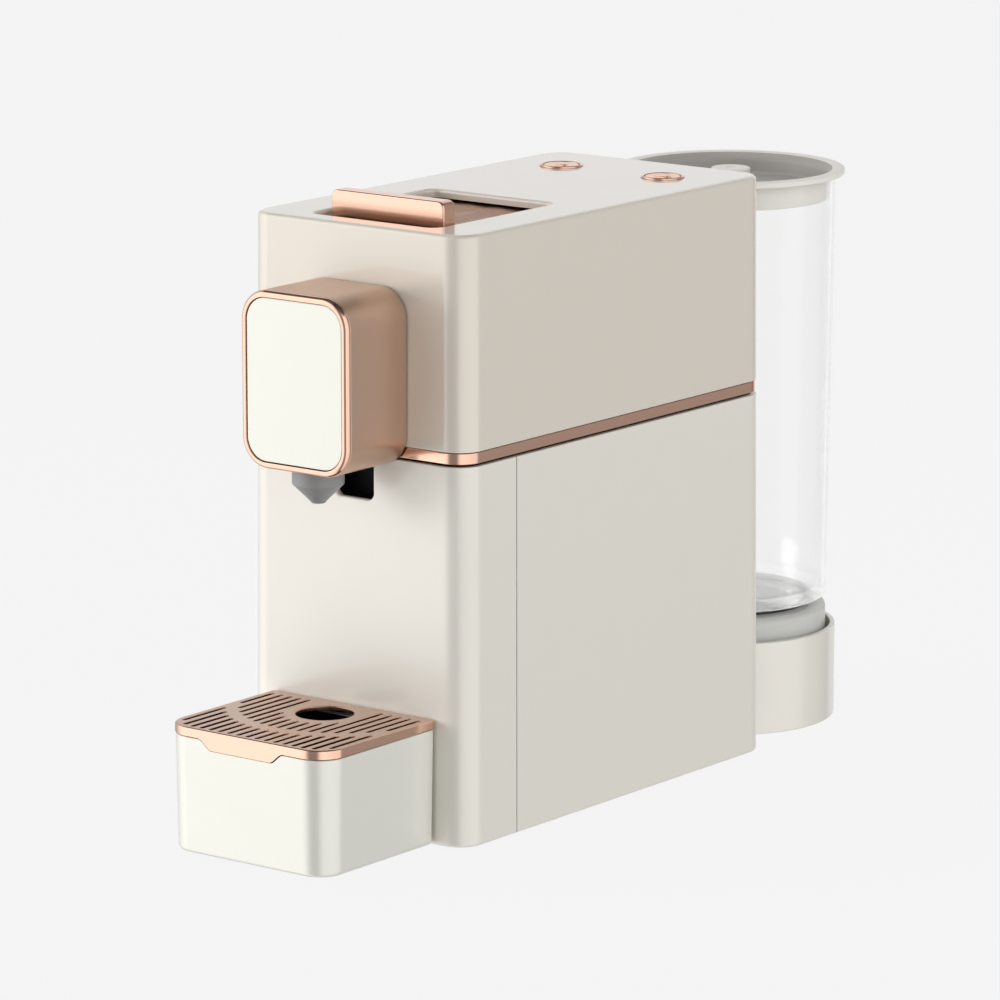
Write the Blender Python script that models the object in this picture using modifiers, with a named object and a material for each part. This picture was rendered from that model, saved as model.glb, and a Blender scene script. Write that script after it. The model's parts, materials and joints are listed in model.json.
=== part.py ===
"""Pod coffee machine: upright body, sliding pod door, brew head, drip tray and rear water tank.

Every dimension below is in millimetres, in the frame of the body: X to the right, -Y to the front, Z
up from the underside of the casing, Y = 0 at the middle of the casing. The helpers turn millimetres
into metres, and one empty carries the whole machine so that the middle of its footprint stands at the
origin, on its feet.
"""

import math

import bmesh
import bpy
from mathutils import Vector

MM = 0.001
GAP = 0.3
BEND_STEPS = 4

# Casing
BODY_WIDTH = 112.0
BODY_DEPTH = 208.2
BODY_TOP = 248.0
CORNER_RADIUS = 11.0
DRAFT = 0.0062
DRAFT_HEIGHT = 123.0
WALL = 2.4
UPPER_BOTTOM = 161.0
TRIM_BOTTOM, TRIM_TOP = 156.2, 160.7
LOWER_TOP = 155.2
SEAM_Y = -70.1
SEAM = 0.6
FOOT_DROP = 1.5

# Brew head on the front
HEAD_WIDTH = 54.2
HEAD_BOTTOM, HEAD_TOP = 153.1, 224.9
HEAD_FRONT = -141.8
HEAD_RADIUS = 12.5
HEAD_WALL = 2.2
BEZEL_WIDTH = 2.6
BEZEL_DEPTH = 2.2
NOZZLE_Y = -126.7
NOZZLE_RADIUS = 10.5
BREW_Z = 190.0

# Outlet slot under the head
SLOT_HALF, SLOT_BOTTOM, SLOT_RADIUS = 9.5, 136.9, 3.0

# Pod door in the top
RECESS_HALF, RECESS_FRONT, RECESS_BACK, RECESS_RADIUS = 32.0, -92.0, -12.5, 5.0
DOOR_TOP = 243.5
DOOR_HALF = 31.4
DOOR_BACK = -2.0
RIB_PITCH, RIB_WIDTH, RIB_HEIGHT = 2.0, 1.1, 1.0
HANDLE_HALF, HANDLE_FRONT, HANDLE_BACK, HANDLE_TOP = 28.7, -82.2, -74.7, 256.7
POD_HALF, POD_FRONT, POD_BACK = 21.0, -88.0, -56.0

# Gear train between door and brew cage: a compound wheel that halves the travel
MODULE = 1.0
DOOR_TEETH, CAGE_TEETH = 32, 16
GEAR_Y, GEAR_Z = -5.0, 221.0
DOOR_TRAVEL = 58.0
CAGE_TRAVEL = DOOR_TRAVEL * CAGE_TEETH / DOOR_TEETH
TOOTH_PITCH = math.pi * MODULE
RACK_SPINE = 3.0
DOOR_RACK_X = (38.0, 42.0)
CAGE_RACK_X = (33.0, 37.0)

# Buttons
BUTTON_X, BUTTON_Y = 26.4, 68.8
BUTTON_RADIUS = 7.5

# Drip tray and grille
TRAY_HALF, TRAY_FRONT, TRAY_BACK = 41.65, -174.8, -105.2
TRAY_RADIUS = 12.0
TRAY_DRAFT = 1.0
TRAY_TOP = 47.9
GRILLE_TOP, GRILLE_BOTTOM = 52.0, 48.2
GRILLE_PLATE = 1.6
TAB_X, TAB_TOP_HALF, TAB_BOTTOM_HALF, TAB_BOTTOM = -1.5, 21.6, 15.2, 44.1
SLIT_PITCH, SLIT_WIDTH, SLIT_SIDE = 4.72, 2.0, 8
SLIT_FRONT, SLIT_BACK = -172.7, -110.0
ARC_Y, ARC_RADIUS, ARC_HALF_WIDTH = -110.4, 45.6, 2.6
HOLE_Y, HOLE_RADIUS, HOLE_COLLAR = -123.5, 11.8, 16.8
BIN_HALF, BIN_BACK, BIN_BOTTOM, BIN_TOP = 33.5, 8.0, 2.8, 45.8
BIN_WALL = 1.8

# Water tank behind the body
TANK_Y = 155.4
CUP_RADIUS, CUP_RIM, CUP_WALL, CUP_FLOOR = 47.2, 39.1, 2.2, 1.0
TANK_TOP_RADIUS, TANK_LOW_RADIUS, TANK_WALL = 45.6, 43.3, 2.5
TANK_TOP, TANK_BOTTOM, TANK_FLOOR = 237.0, 51.3, 56.7
LID_RADIUS, LID_TOP = 49.2, 239.8
NECK_HALF, NECK_TOP = 20.0, 30.0
PIPE_Z = 14.0

# Inner frame
CHASSIS_BOTTOM, CHASSIS_TOP = 50.0, 53.0
LEGS = [(46.0, -40.0), (-46.0, -40.0), (46.0, 66.0), (-46.0, 66.0)]
FEET = {
    "foot_front_right": (42.0, -88.0),
    "foot_front_left": (-42.0, -88.0),
    "foot_rear_right": (42.0, 88.0),
    "foot_rear_left": (-42.0, 88.0),
}
PUMP_X, PUMP_Z, PUMP_RADIUS = -26.0, 80.0, 9.5
METER_Y = 82.0

FOOTPRINT_MIDDLE = (TRAY_FRONT + TANK_Y + LID_RADIUS) / 2
FRAME_SHIFT = (0.0, -FOOTPRINT_MIDDLE, FOOT_DROP)

# name: (sRGB colour, roughness, metallic)
FINISHES = {
    "cream_shell": ("CFC7BB", 0.45, 0.0),
    "cream_tray": ("F1EFE6", 0.4, 0.0),
    "gloss_panel": ("F5F6EE", 0.15, 0.0),
    "rose_gold": ("D9A080", 0.28, 1.0),
    "rose_satin": ("C09A82", 0.4, 1.0),
    "black_plastic": ("101010", 0.5, 0.0),
    "grey_plastic": ("808080", 0.45, 0.0),
    "dark_rubber": ("303030", 0.8, 0.0),
    "clear_tank": ("EDEFEF", 0.08, 0.0),
    "lid_plastic": ("D5D0C4", 0.4, 0.0),
    "aluminium": ("B4B6B8", 0.35, 1.0),
    "steel": ("A5A5A5", 0.3, 1.0),
    "circuit_green": ("1F5B3A", 0.5, 0.0),
    "silicone": ("D8DAD6", 0.6, 0.0),
}


def clear_scene():
    for obj in list(bpy.data.objects):
        bpy.data.objects.remove(obj, do_unlink=True)


def collection(name):
    made = bpy.data.collections.new(name)
    bpy.context.scene.collection.children.link(made)
    return made


def linear(code):
    """The scene-linear colour of an sRGB hex code."""
    values = [int(code[i : i + 2], 16) / 255 for i in (0, 2, 4)]
    return [v / 12.92 if v <= 0.04045 else ((v + 0.055) / 1.055) ** 2.4 for v in values] + [1.0]


def make_materials():
    made = {}
    for name, (code, roughness, metallic) in FINISHES.items():
        material = bpy.data.materials.new(name)
        material.use_nodes = True
        shader = material.node_tree.nodes["Principled BSDF"]
        shader.inputs["Base Color"].default_value = linear(code)
        shader.inputs["Roughness"].default_value = roughness
        shader.inputs["Metallic"].default_value = metallic
        made[name] = material
    made["clear_tank"].node_tree.nodes["Principled BSDF"].inputs["Transmission Weight"].default_value = 1.0
    return made


def place(obj, at=(0.0, 0.0, 0.0), turn=(0.0, 0.0, 0.0)):
    """Links an object, sets its place in the machine's millimetres and hangs it on the machine's empty."""
    (PARTS if not obj.hide_render else CUTTERS).objects.link(obj)
    obj.location = [value * MM for value in at]
    obj.rotation_euler = turn
    obj.parent = MACHINE
    return obj


def dress(obj, finish):
    """Gives an object its finish, or makes it a cutter when the finish is None."""
    if finish is None:
        obj.hide_render = True
        obj.display_type = "WIRE"
    else:
        obj.data.materials.append(MATERIALS[finish])
    return obj


def mesh_object(name, bm, finish, at=(0.0, 0.0, 0.0), smooth=True):
    mesh = bpy.data.meshes.new(name)
    bmesh.ops.recalc_face_normals(bm, faces=bm.faces)
    bm.to_mesh(mesh)
    bm.free()
    if smooth:
        mesh.shade_smooth()
        mesh.set_sharp_from_angle(angle=math.radians(35))
    return place(dress(bpy.data.objects.new(name, mesh), finish), at)


def edges_along(bm, axis):
    """The edges that run mostly along one axis."""
    found = []
    for edge in bm.edges:
        run = edge.verts[1].co - edge.verts[0].co
        if abs(run[axis]) > 0.9 * run.length:
            found.append(edge)
    return found


def rim_edges(bm, axis, side):
    """The edges of the flat end that faces along one axis."""
    ends = [face for face in bm.faces if face.normal[axis] * side > 0.99]
    return [edge for face in ends for edge in face.edges]


def round_edges(bm, edges, radius, segments):
    if radius > 0:
        size = radius * MM
        bmesh.ops.bevel(
            bm, geom=edges, offset=size, segments=segments, profile=0.5, affect="EDGES", clamp_overlap=True
        )
        bm.normal_update()


def block(name, low, high, finish, radius=0.0, along=2, segments=4, soften=None):
    """A box between two corners, rounded along one axis, with the ends listed in soften filleted as well.

    soften holds (side, radius, segments) for an end of that axis.
    """
    middle = [(a + b) / 2 for a, b in zip(low, high)]
    bm = bmesh.new()
    bmesh.ops.create_cube(bm, size=1.0)
    bmesh.ops.scale(bm, vec=Vector([(b - a) * MM for a, b in zip(low, high)]), verts=bm.verts)
    bm.normal_update()
    round_edges(bm, edges_along(bm, along), radius, segments)
    for side, fillet, steps in soften or []:
        round_edges(bm, rim_edges(bm, along, side), fillet, steps)
    return mesh_object(name, bm, finish, middle)


def casing_half(z):
    """Half the width and depth of the casing at a height: the draft makes it narrower towards the top."""
    draft = DRAFT * (DRAFT_HEIGHT - z)
    return BODY_WIDTH / 2 + draft, BODY_DEPTH / 2 + draft


def casing_block(name, bottom, top, inset, finish, top_fillet=0.0, bottom_fillet=0.0):
    """A drafted block with the casing's outline, drawn in by inset."""
    bm = bmesh.new()
    bmesh.ops.create_cube(bm, size=2.0)
    for vert in bm.verts:
        z = top if vert.co.z > 0 else bottom
        half_x, half_y = casing_half(z)
        vert.co = Vector((vert.co.x * (half_x - inset), vert.co.y * (half_y - inset), z)) * MM
    bm.normal_update()
    round_edges(bm, edges_along(bm, 2), CORNER_RADIUS - inset, 6)
    round_edges(bm, rim_edges(bm, 2, 1), top_fillet, 2)
    round_edges(bm, rim_edges(bm, 2, -1), bottom_fillet, 2)
    return mesh_object(name, bm, finish)


def turned(name, profile, finish, at=(0.0, 0.0, 0.0), axis="Z", steps=40):
    """A turned piece. The profile holds (radius, height) points and runs down its outer side.

    A profile that starts and ends on the axis is open, and any other one is closed into a ring. With
    axis "Y" or "X" the heights are measured along that axis of the machine.
    """
    on_axis = profile[0][0] == 0 and profile[-1][0] == 0
    bm = bmesh.new()
    verts = [bm.verts.new((r * MM, 0.0, h * MM)) for r, h in profile]
    pairs = list(zip(verts, verts[1:])) + ([] if on_axis else [(verts[-1], verts[0])])
    for pair in pairs:
        bm.edges.new(pair)
    mesh = bpy.data.meshes.new(name)
    bm.to_mesh(mesh)
    bm.free()
    obj = dress(bpy.data.objects.new(name, mesh), finish)
    screw = obj.modifiers.new("turn", "SCREW")
    screw.steps = steps
    screw.render_steps = steps
    screw.use_merge_vertices = True
    screw.merge_threshold = 0.00001
    screw.use_smooth_shade = True
    turn = {"Z": (0.0, 0.0, 0.0), "Y": (-math.pi / 2, 0.0, 0.0), "X": (0.0, math.pi / 2, 0.0)}[axis]
    return place(obj, at, turn)


def rod(name, radius, low, high, finish, at=(0.0, 0.0, 0.0), axis="Z", steps=24):
    """A plain round bar from low to high along an axis."""
    return turned(name, [(0, high), (radius, high), (radius, low), (0, low)], finish, at, axis, steps)


def extruded(name, outline, thickness, finish, at, axis):
    """A flat outline, extruded to a thickness along an axis and made a mesh so that it can be cut.

    The outline holds (y, z) points when the axis is "X", and (x, z) points when it is "Y".
    """
    curve = bpy.data.curves.new(name, "CURVE")
    curve.dimensions = "2D"
    curve.fill_mode = "BOTH"
    curve.extrude = thickness * MM / 2
    spline = curve.splines.new("POLY")
    spline.points.add(len(outline) - 1)
    for point, (x, y) in zip(spline.points, outline):
        point.co = (x * MM, y * MM, 0.0, 1.0)
    spline.use_cyclic_u = True
    flat = bpy.data.objects.new(name + "_outline", curve)
    PARTS.objects.link(flat)
    graph = bpy.context.evaluated_depsgraph_get()
    mesh = bpy.data.meshes.new_from_object(flat.evaluated_get(graph))
    bpy.data.objects.remove(flat, do_unlink=True)
    bm = bmesh.new()
    bm.from_mesh(mesh)
    bmesh.ops.remove_doubles(bm, verts=bm.verts, dist=0.000001)
    for vert in bm.verts:
        x, y, z = vert.co
        vert.co = (z, x, y) if axis == "X" else (x, z, y)
    return mesh_object(name, bm, finish, at, smooth=False)


def tube(name, points, radius, finish):
    """A bent pipe: straight runs between the points, with every corner rounded off by a parabola."""
    knots = [Vector(p) for p in points]
    path = [knots[0]]
    for before, corner, after in zip(knots, knots[1:], knots[2:]):
        reach = 0.45 * min((before - corner).length, (after - corner).length)
        start = corner + (before - corner).normalized() * reach
        end = corner + (after - corner).normalized() * reach
        for step in range(BEND_STEPS + 1):
            t = step / BEND_STEPS
            path.append(start * (1 - t) ** 2 + corner * 2 * t * (1 - t) + end * t**2)
    path.append(knots[-1])
    curve = bpy.data.curves.new(name, "CURVE")
    curve.dimensions = "3D"
    curve.bevel_depth = radius * MM
    curve.bevel_resolution = 2
    curve.use_fill_caps = True
    spline = curve.splines.new("POLY")
    spline.points.add(len(path) - 1)
    for point, where in zip(spline.points, path):
        point.co = (*(where * MM), 1.0)
    return place(dress(bpy.data.objects.new(name, curve), finish))


def combine(obj, others, operation="DIFFERENCE"):
    """Cuts each of the others out of an object, or joins them on."""
    for other in others:
        modifier = obj.modifiers.new(other.name, "BOOLEAN")
        modifier.operation = operation
        modifier.solver = "EXACT"
        modifier.object = other
    return obj


def casing():
    """The cream shells, the metal band between them and the floor with its feet."""
    recess = block(
        "recess_cutter",
        (-RECESS_HALF, RECESS_FRONT, DOOR_TOP - 5),
        (RECESS_HALF, RECESS_BACK, BODY_TOP + 5),
        None,
        RECESS_RADIUS,
    )
    upper = casing_block("upper_housing", UPPER_BOTTOM, BODY_TOP, 0.0, "cream_shell", top_fillet=2.0)
    hollow = casing_block("upper_hollow", UPPER_BOTTOM - 8, BODY_TOP - WALL, WALL, None)
    button_holes = [
        rod(f"button_hole_{side}", BUTTON_RADIUS + 1.5, 240.0, 255.0, None, (x, BUTTON_Y, 0.0))
        for side, x in (("left", -BUTTON_X), ("right", BUTTON_X))
    ]
    duct_hole = rod("duct_hole", 5.5, -112.0, -94.0, None, (0.0, 0.0, BREW_Z), "Y")
    combine(upper, [hollow, recess, *button_holes, duct_hole])

    trim = casing_block("trim_band", TRIM_BOTTOM, TRIM_TOP, 0.5, "rose_gold")
    combine(trim, [casing_block("trim_hollow", TRIM_BOTTOM - 4, TRIM_TOP + 4, WALL + 0.6, None)])

    inner = casing_block("lower_hollow", -6.0, LOWER_TOP + 6, WALL, None)
    behind = block("behind_seam", (-70, SEAM_Y - SEAM / 2, -10), (70, 130, 170), None)
    ahead = block("ahead_of_seam", (-70, -130, -10), (70, SEAM_Y + SEAM / 2, 170), None)
    slot = block(
        "slot_cutter", (-SLOT_HALF, -112, SLOT_BOTTOM), (SLOT_HALF, -96, LOWER_TOP + 9), None, SLOT_RADIUS, 1
    )
    doorway = block("doorway_cutter", (-BIN_HALF - 1.5, -112, -6), (BIN_HALF + 1.5, -94, TRAY_TOP), None)
    front = casing_block("front_shell", 0.0, LOWER_TOP, 0.0, "cream_shell", bottom_fillet=1.5)
    combine(front, [inner, behind, slot, doorway])

    pipe_hole = rod("pipe_hole", 5.0, 96, 112, None, (0, 0, PIPE_Z), "Y")
    gland_hole = rod("gland_hole", 5.2, 96, 112, None, (40, 0, 20), "Y")
    rear = casing_block("rear_shell", 0.0, LOWER_TOP, 0.0, "cream_shell", bottom_fillet=1.5)
    combine(rear, [inner, ahead, pipe_hole, gland_hole])

    floor = block("base_plate", (-53, -100.8, 0), (53, 100.8, WALL), "black_plastic", 8.0)
    for name, (x, y) in FEET.items():
        combine(floor, [rod(name + "_pocket", 6.4, -1, 1.3, None, (x, y, 0), "Z", 16)])
        foot = [(0, 1), (6, 1), (6, -1), (5.5, -FOOT_DROP), (0, -FOOT_DROP)]
        turned(name, foot, "dark_rubber", (x, y, 0), "Z", 16)
    for number, (x, y) in enumerate(LEGS, 1):
        bore = [(0, 5), (1.8, 5), (1.8, 1.6), (3.4, 1.6), (3.4, -1), (0, -1)]
        combine(floor, [turned(f"screw_bore_{number}", bore, None, (x, y, 0), "Z", 12)])
        screw = [(0, 9), (1.35, 9), (1.35, 1.3), (3, 1.3), (3, 0.2), (0, 0.2)]
        turned(f"floor_screw_{number}", screw, "steel", (x, y, 0), "Z", 12)

    gland = [(4.6, 110), (6.8, 106.8), (6.8, 105.3), (4.8, 105.3), (4.8, 100), (3.6, 100), (3.6, 110)]
    turned("cord_gland", gland, "dark_rubber", (40, 0, 20), "Y", 16)


def chassis():
    """The table inside the lower shells that carries pump and heater, over the pod bin."""
    plate = block("chassis", (-50.5, -46, CHASSIS_BOTTOM), (50.5, 96, CHASSIS_TOP), "grey_plastic", 4.0)
    for number, (x, y) in enumerate(LEGS, 1):
        leg = rod(f"leg_{number}", 4.5, 2.8, CHASSIS_BOTTOM + 1, None, (x, y, 0), "Z", 12)
        combine(plate, [leg], "UNION")
        combine(plate, [rod(f"leg_bore_{number}", 1.7, -1, 12, None, (x, y, 0), "Z", 12)])
    combine(plate, [rod("hose_hole", 6, 45, 60, None, (PUMP_X, METER_Y, 0), "Z", 20)])


def head():
    """The brew head: sleeve, bezel, front panel and the coffee outlet under it."""
    half = HEAD_WIDTH / 2
    bezel_back = HEAD_FRONT + BEZEL_DEPTH
    sleeve = block(
        "head_sleeve",
        (-half, bezel_back + GAP, HEAD_BOTTOM),
        (half, -104.3, HEAD_TOP),
        "rose_satin",
        HEAD_RADIUS,
        1,
    )
    inside = block(
        "sleeve_hollow",
        (-half + HEAD_WALL, HEAD_FRONT - 5, HEAD_BOTTOM + HEAD_WALL),
        (half - HEAD_WALL, -95, HEAD_TOP - HEAD_WALL),
        None,
        HEAD_RADIUS - HEAD_WALL,
        1,
    )
    spout_hole = rod("spout_hole", NOZZLE_RADIUS + 0.4, 148, 160, None, (0, NOZZLE_Y, 0))
    combine(sleeve, [inside, spout_hole])
    low, high = (-half, HEAD_FRONT, HEAD_BOTTOM), (half, bezel_back, HEAD_TOP)
    bezel = block("head_bezel", low, high, "rose_gold", HEAD_RADIUS, 1)
    opening = block(
        "bezel_opening",
        (-half + BEZEL_WIDTH, HEAD_FRONT - 5, HEAD_BOTTOM + BEZEL_WIDTH),
        (half - BEZEL_WIDTH, bezel_back + 5, HEAD_TOP - BEZEL_WIDTH),
        None,
        HEAD_RADIUS - BEZEL_WIDTH,
        1,
    )
    combine(bezel, [opening])
    inset = BEZEL_WIDTH + GAP
    block(
        "head_panel",
        (-half + inset, HEAD_FRONT + 0.4, HEAD_BOTTOM + inset),
        (half - inset, HEAD_FRONT + 3.6, HEAD_TOP - inset),
        "gloss_panel",
        HEAD_RADIUS - inset,
        1,
    )
    nozzle = [(10.5, 160), (10.5, 147.2), (9.7, 146), (3.2, 139.4), (2.4, 138.8)]
    nozzle += [(1.5, 138.8), (1.5, 150), (6, 156), (6, 160)]
    turned("spout_nozzle", nozzle, "grey_plastic", (0, NOZZLE_Y, 0), "Z", 24)
    duct = [(0, -98.4, BREW_Z), (0, NOZZLE_Y, BREW_Z), (0, NOZZLE_Y, 160.4)]
    tube("outlet_duct", duct, 4.0, "silicone")
    liner = block("outlet_liner", (-12, -101.1, SLOT_BOTTOM - 3), (12, -93, LOWER_TOP), "black_plastic")
    low, high = (-SLOT_HALF, -112, SLOT_BOTTOM), (SLOT_HALF, -94.5, LOWER_TOP + 9)
    pocket = block("liner_pocket", low, high, None, SLOT_RADIUS, 1)
    combine(liner, [pocket])


def boxes_object(name, boxes, finish, taper=None):
    """One object that holds several boxes between low and high corners, tapered along Y if asked."""
    bm = bmesh.new()
    for low, high in boxes:
        for vert in bmesh.ops.create_cube(bm, size=2.0)["verts"]:
            corner = [(h if side > 0 else l) for side, l, h in zip(vert.co, low, high)]
            if taper is not None and vert.co.z < 0:
                corner[1] -= math.copysign(taper, vert.co.y)
            vert.co = Vector(corner) * MM
    return mesh_object(name, bm, finish, smooth=False)


def rack(name, sides, front, teeth_from, pitch_z, finish):
    """A bar with teeth on its underside, with a gap between two teeth right above the gear."""
    root, tip = pitch_z + 1.2, pitch_z - 0.9
    bar = block(name, (sides[0], front, root), (sides[1], DOOR_BACK, root + RACK_SPINE), finish)
    first = math.ceil((teeth_from - GEAR_Y) / TOOTH_PITCH) + 0.5
    count = int((DOOR_BACK - 1.0 - GEAR_Y) / TOOTH_PITCH - first) + 1
    middles = [GEAR_Y + (first + number) * TOOTH_PITCH for number in range(count)]
    inset = 0.1
    teeth = [
        ((sides[0] + inset, y - 0.7, tip), (sides[1] - inset, y + 0.7, root + 0.5)) for y in middles
    ]
    return combine(bar, [boxes_object(name + "_teeth", teeth, None, 0.4)], "UNION")


def gear_outline(teeth):
    """A wheel's outline of (x, y) points, with one tooth along +Y."""
    pitch = MODULE * teeth / 2
    tip, root = pitch + 0.8, pitch - 1.1
    points = []
    for number in range(teeth):
        middle = math.pi / 2 + number * math.tau / teeth
        for radius, half in ((root, -0.65), (tip, -0.3), (tip, 0.3), (root, 0.65)):
            angle = middle + half / radius
            points.append((radius * math.cos(angle), radius * math.sin(angle)))
    return points


def pod_door():
    """The ribbed door with its handle and rack, and the bay that it slides in."""
    bay_top = DOOR_TOP - 3.3
    bay = block("loading_bay", (-36.5, -99.3, bay_top - 3.8), (36.5, 60, bay_top), "black_plastic", 2.0, 2, 2)
    for side, x in (("left", -36.2), ("right", 32.1)):
        rail = block(f"rail_{side}", (x, -99, bay_top - 1), (x + 4.1, -12, DOOR_TOP), None)
        combine(bay, [rail], "UNION")
    combine(bay, [block("pod_slot", (-POD_HALF, POD_FRONT, 230), (POD_HALF, POD_BACK, 250), None, 2.0, 2, 2)])

    under, valley = DOOR_TOP - 2.8, DOOR_TOP - RIB_HEIGHT
    front = RECESS_FRONT + GAP
    door = block("slide_cover", (-DOOR_HALF, front, under), (DOOR_HALF, DOOR_BACK, valley), "rose_gold")
    count = int(2 * DOOR_HALF / RIB_PITCH)
    middles = [(number - (count - 1) / 2) * RIB_PITCH for number in range(count)]
    ribs = [
        ((x - RIB_WIDTH / 2, front + 0.4, valley - 0.5), (x + RIB_WIDTH / 2, DOOR_BACK - 0.4, DOOR_TOP))
        for x in middles
    ]
    rack_front = GEAR_Y - DOOR_TRAVEL - 5
    bar = rack("door_rack", DOOR_RACK_X, rack_front, rack_front, GEAR_Z + MODULE * DOOR_TEETH / 2, None)
    arm = block("rack_arm", (30, -8, 240.9), (DOOR_RACK_X[1] - 0.4, -2.4, 242.3), None)
    combine(door, [boxes_object("door_ribs", ribs, None), arm, bar], "UNION")
    block(
        "slide_handle",
        (-HANDLE_HALF, HANDLE_FRONT, DOOR_TOP + GAP),
        (HANDLE_HALF, HANDLE_BACK, HANDLE_TOP),
        "rose_gold",
        3.0,
        1,
        4,
        [(1, 0.6, 1), (-1, 0.6, 1)],
    )


def brew_unit():
    """The fixed frame with its piercing plate, and the cage that the gear train drives against it."""
    frame = block("brew_frame", (-28, -98, 160), (28, 8, 232), "grey_plastic", 2.0, 2, 2)
    cavity = block("frame_cavity", (-24, -90, 150), (24, 0, 240), None)
    arm_slot = block("arm_slot", (20, -66, 184), (32, -18, 196), None)
    outlet = rod("frame_outlet", 4.5, -104, -86, None, (0, 0, BREW_Z), "Y", 20)
    guide = rod("stem_guide", 5.6, -4, 12, None, (0, 0, BREW_Z), "Y", 24)
    combine(frame, [cavity, arm_slot, outlet, guide])
    plate = [(20, -87.7), (20, -89.7), (2, -89.7), (2, -87.7)]
    turned("piercing_plate", plate, "steel", (0, 0, BREW_Z), "Y", 24)

    cage = [(0, -31), (5, -31), (5, -51), (21, -51), (21, -85.6), (17, -85.6), (14.5, -60), (0, -60)]
    turned("brew_cage", cage, "aluminium", (0, 0, BREW_Z), "Y", 24)
    seal = [(20.6, -85.9), (20.6, -87.3), (17.2, -87.3), (17.2, -85.9)]
    turned("cage_seal", seal, "dark_rubber", (0, 0, BREW_Z), "Y", 24)

    pitch_z = GEAR_Z + MODULE * CAGE_TEETH / 2
    yoke = rack("cage_yoke", CAGE_RACK_X, -62.0, GEAR_Y - CAGE_TRAVEL - 5, pitch_z, "aluminium")
    low, high = (CAGE_RACK_X[0] + 0.2, -61.8, 187), (CAGE_RACK_X[1] - 0.2, -54, pitch_z + 2)
    leg = block("yoke_leg", low, high, None)
    stub = block("yoke_stub", (21.4, -61, 187.5), (CAGE_RACK_X[0] + 1, -55, 192.5), None)
    combine(yoke, [leg, stub], "UNION")

    gear_at = (sum(DOOR_RACK_X) / 2, GEAR_Y, GEAR_Z)
    wheel = extruded("drive_gear", gear_outline(DOOR_TEETH), 3.6, "grey_plastic", gear_at, "X")
    pinion_at = (sum(CAGE_RACK_X) / 2, GEAR_Y, GEAR_Z)
    pinion = extruded("pinion", gear_outline(CAGE_TEETH), 3.6, None, pinion_at, "X")
    hub = rod("gear_hub", 5, 34, 39, None, (0, GEAR_Y, GEAR_Z), "X", 20)
    combine(wheel, [pinion, hub], "UNION")
    combine(wheel, [rod("gear_bore", 2.8, 25, 50, None, (0, GEAR_Y, GEAR_Z), "X", 20)])
    rod("gear_shaft", 2.4, 28.4, 43.5, "steel", (0, GEAR_Y, GEAR_Z), "X", 20)


def controls():
    """The two buttons with their rings and switches, on the control board."""
    block("control_board", (-46, 34, 222), (46, 98, 223.6), "circuit_green", 2.0, 2, 2)
    ring = [(8.4, 248.9), (8.7, 248.6), (8.7, 245.8), (7.8, 245.8), (7.8, 248.6), (8.1, 248.9)]
    cap = [(0, 248.7), (7.1, 248.7), (7.5, 248.3), (7.5, 246.3), (2.5, 246.3), (2.5, 231.8), (0, 231.8)]
    switch = [(0, 229.9), (1.5, 229.9), (1.5, 227.5), (4, 227.5), (4, 223.9), (0, 223.9)]
    for side, x in (("left", -BUTTON_X), ("right", BUTTON_X)):
        at = (x, BUTTON_Y, 0)
        turned(f"button_ring_{side}", ring, "rose_gold", at, "Z", 24)
        turned(f"button_{side}", cap, "rose_gold", at, "Z", 24)
        turned(f"switch_{side}", switch, "black_plastic", at, "Z", 16)


def hydraulics():
    """Flow meter, pump and heater, with the hoses that join them."""
    pump = [(0, 62), (5, 62), (5, 50.5), (PUMP_RADIUS, 50.5), (PUMP_RADIUS, -34)]
    pump += [(4, -34), (4, -44), (0, -44)]
    turned("pump_core", pump, "steel", (PUMP_X, 0, PUMP_Z), "Y", 24)
    coil = block("pump_coil", (-46, -14, 61), (-6, 36, 99), "black_plastic", 3.0, 1, 3)
    bore = rod("pump_bore", PUMP_RADIUS + 0.4, -60, 80, None, (PUMP_X, 0, PUMP_Z), "Y", 24)
    combine(coil, [bore])
    for where, y in (("front", -30), ("rear", 41)):
        mount = block(f"pump_mount_{where}", (-40, y, 53.4), (-12, y + 8, 93), "dark_rubber", 4.0, 1, 3)
        combine(mount, [bore])
    heater = block("thermoblock", (4, -34, 53.4), (46, 62, 104), "aluminium", 4.0, 1, 3)
    fins = [block(f"fin_gap_{n}", (8 + 6 * n, -40, 98), (11 + 6 * n, -6, 110), None) for n in range(6)]
    combine(heater, fins)
    cap = [(0, 111), (5, 111), (5, 108), (8, 108), (8, 104.4), (0, 104.4)]
    turned("thermostat", cap, "steel", (25, 18, 0), "Z", 20)
    meter = [(0, 38), (4, 38), (4, 35), (13, 35), (13, 23), (4, 23), (4, 20), (0, 20)]
    turned("flow_meter", meter, "grey_plastic", (PUMP_X, METER_Y, 0), "Z", 20)
    meter_side = (PUMP_X, METER_Y)
    inlet_run = [(0, 146.9, PIPE_Z), (0, 95, PIPE_Z), (-8, 84, 8), (*meter_side, 6.5), (*meter_side, 19.6)]
    tube("inlet_hose", inlet_run, 3.0, "silicone")
    tube("pump_hose", [(*meter_side, 38.4), (*meter_side, PUMP_Z), (PUMP_X, 62.4, PUMP_Z)], 3.0, "silicone")
    heater_run = [(PUMP_X, -44.4, PUMP_Z), (PUMP_X, -56, PUMP_Z), (25, -56, PUMP_Z), (25, -34.4, PUMP_Z)]
    tube("heater_hose", heater_run, 2.5, "silicone")
    brew_run = [(25, 48, 104.5), (25, 48, 150), (0, 26, BREW_Z), (0, 8.4, BREW_Z)]
    tube("brew_hose", brew_run, 2.5, "silicone")


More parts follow.
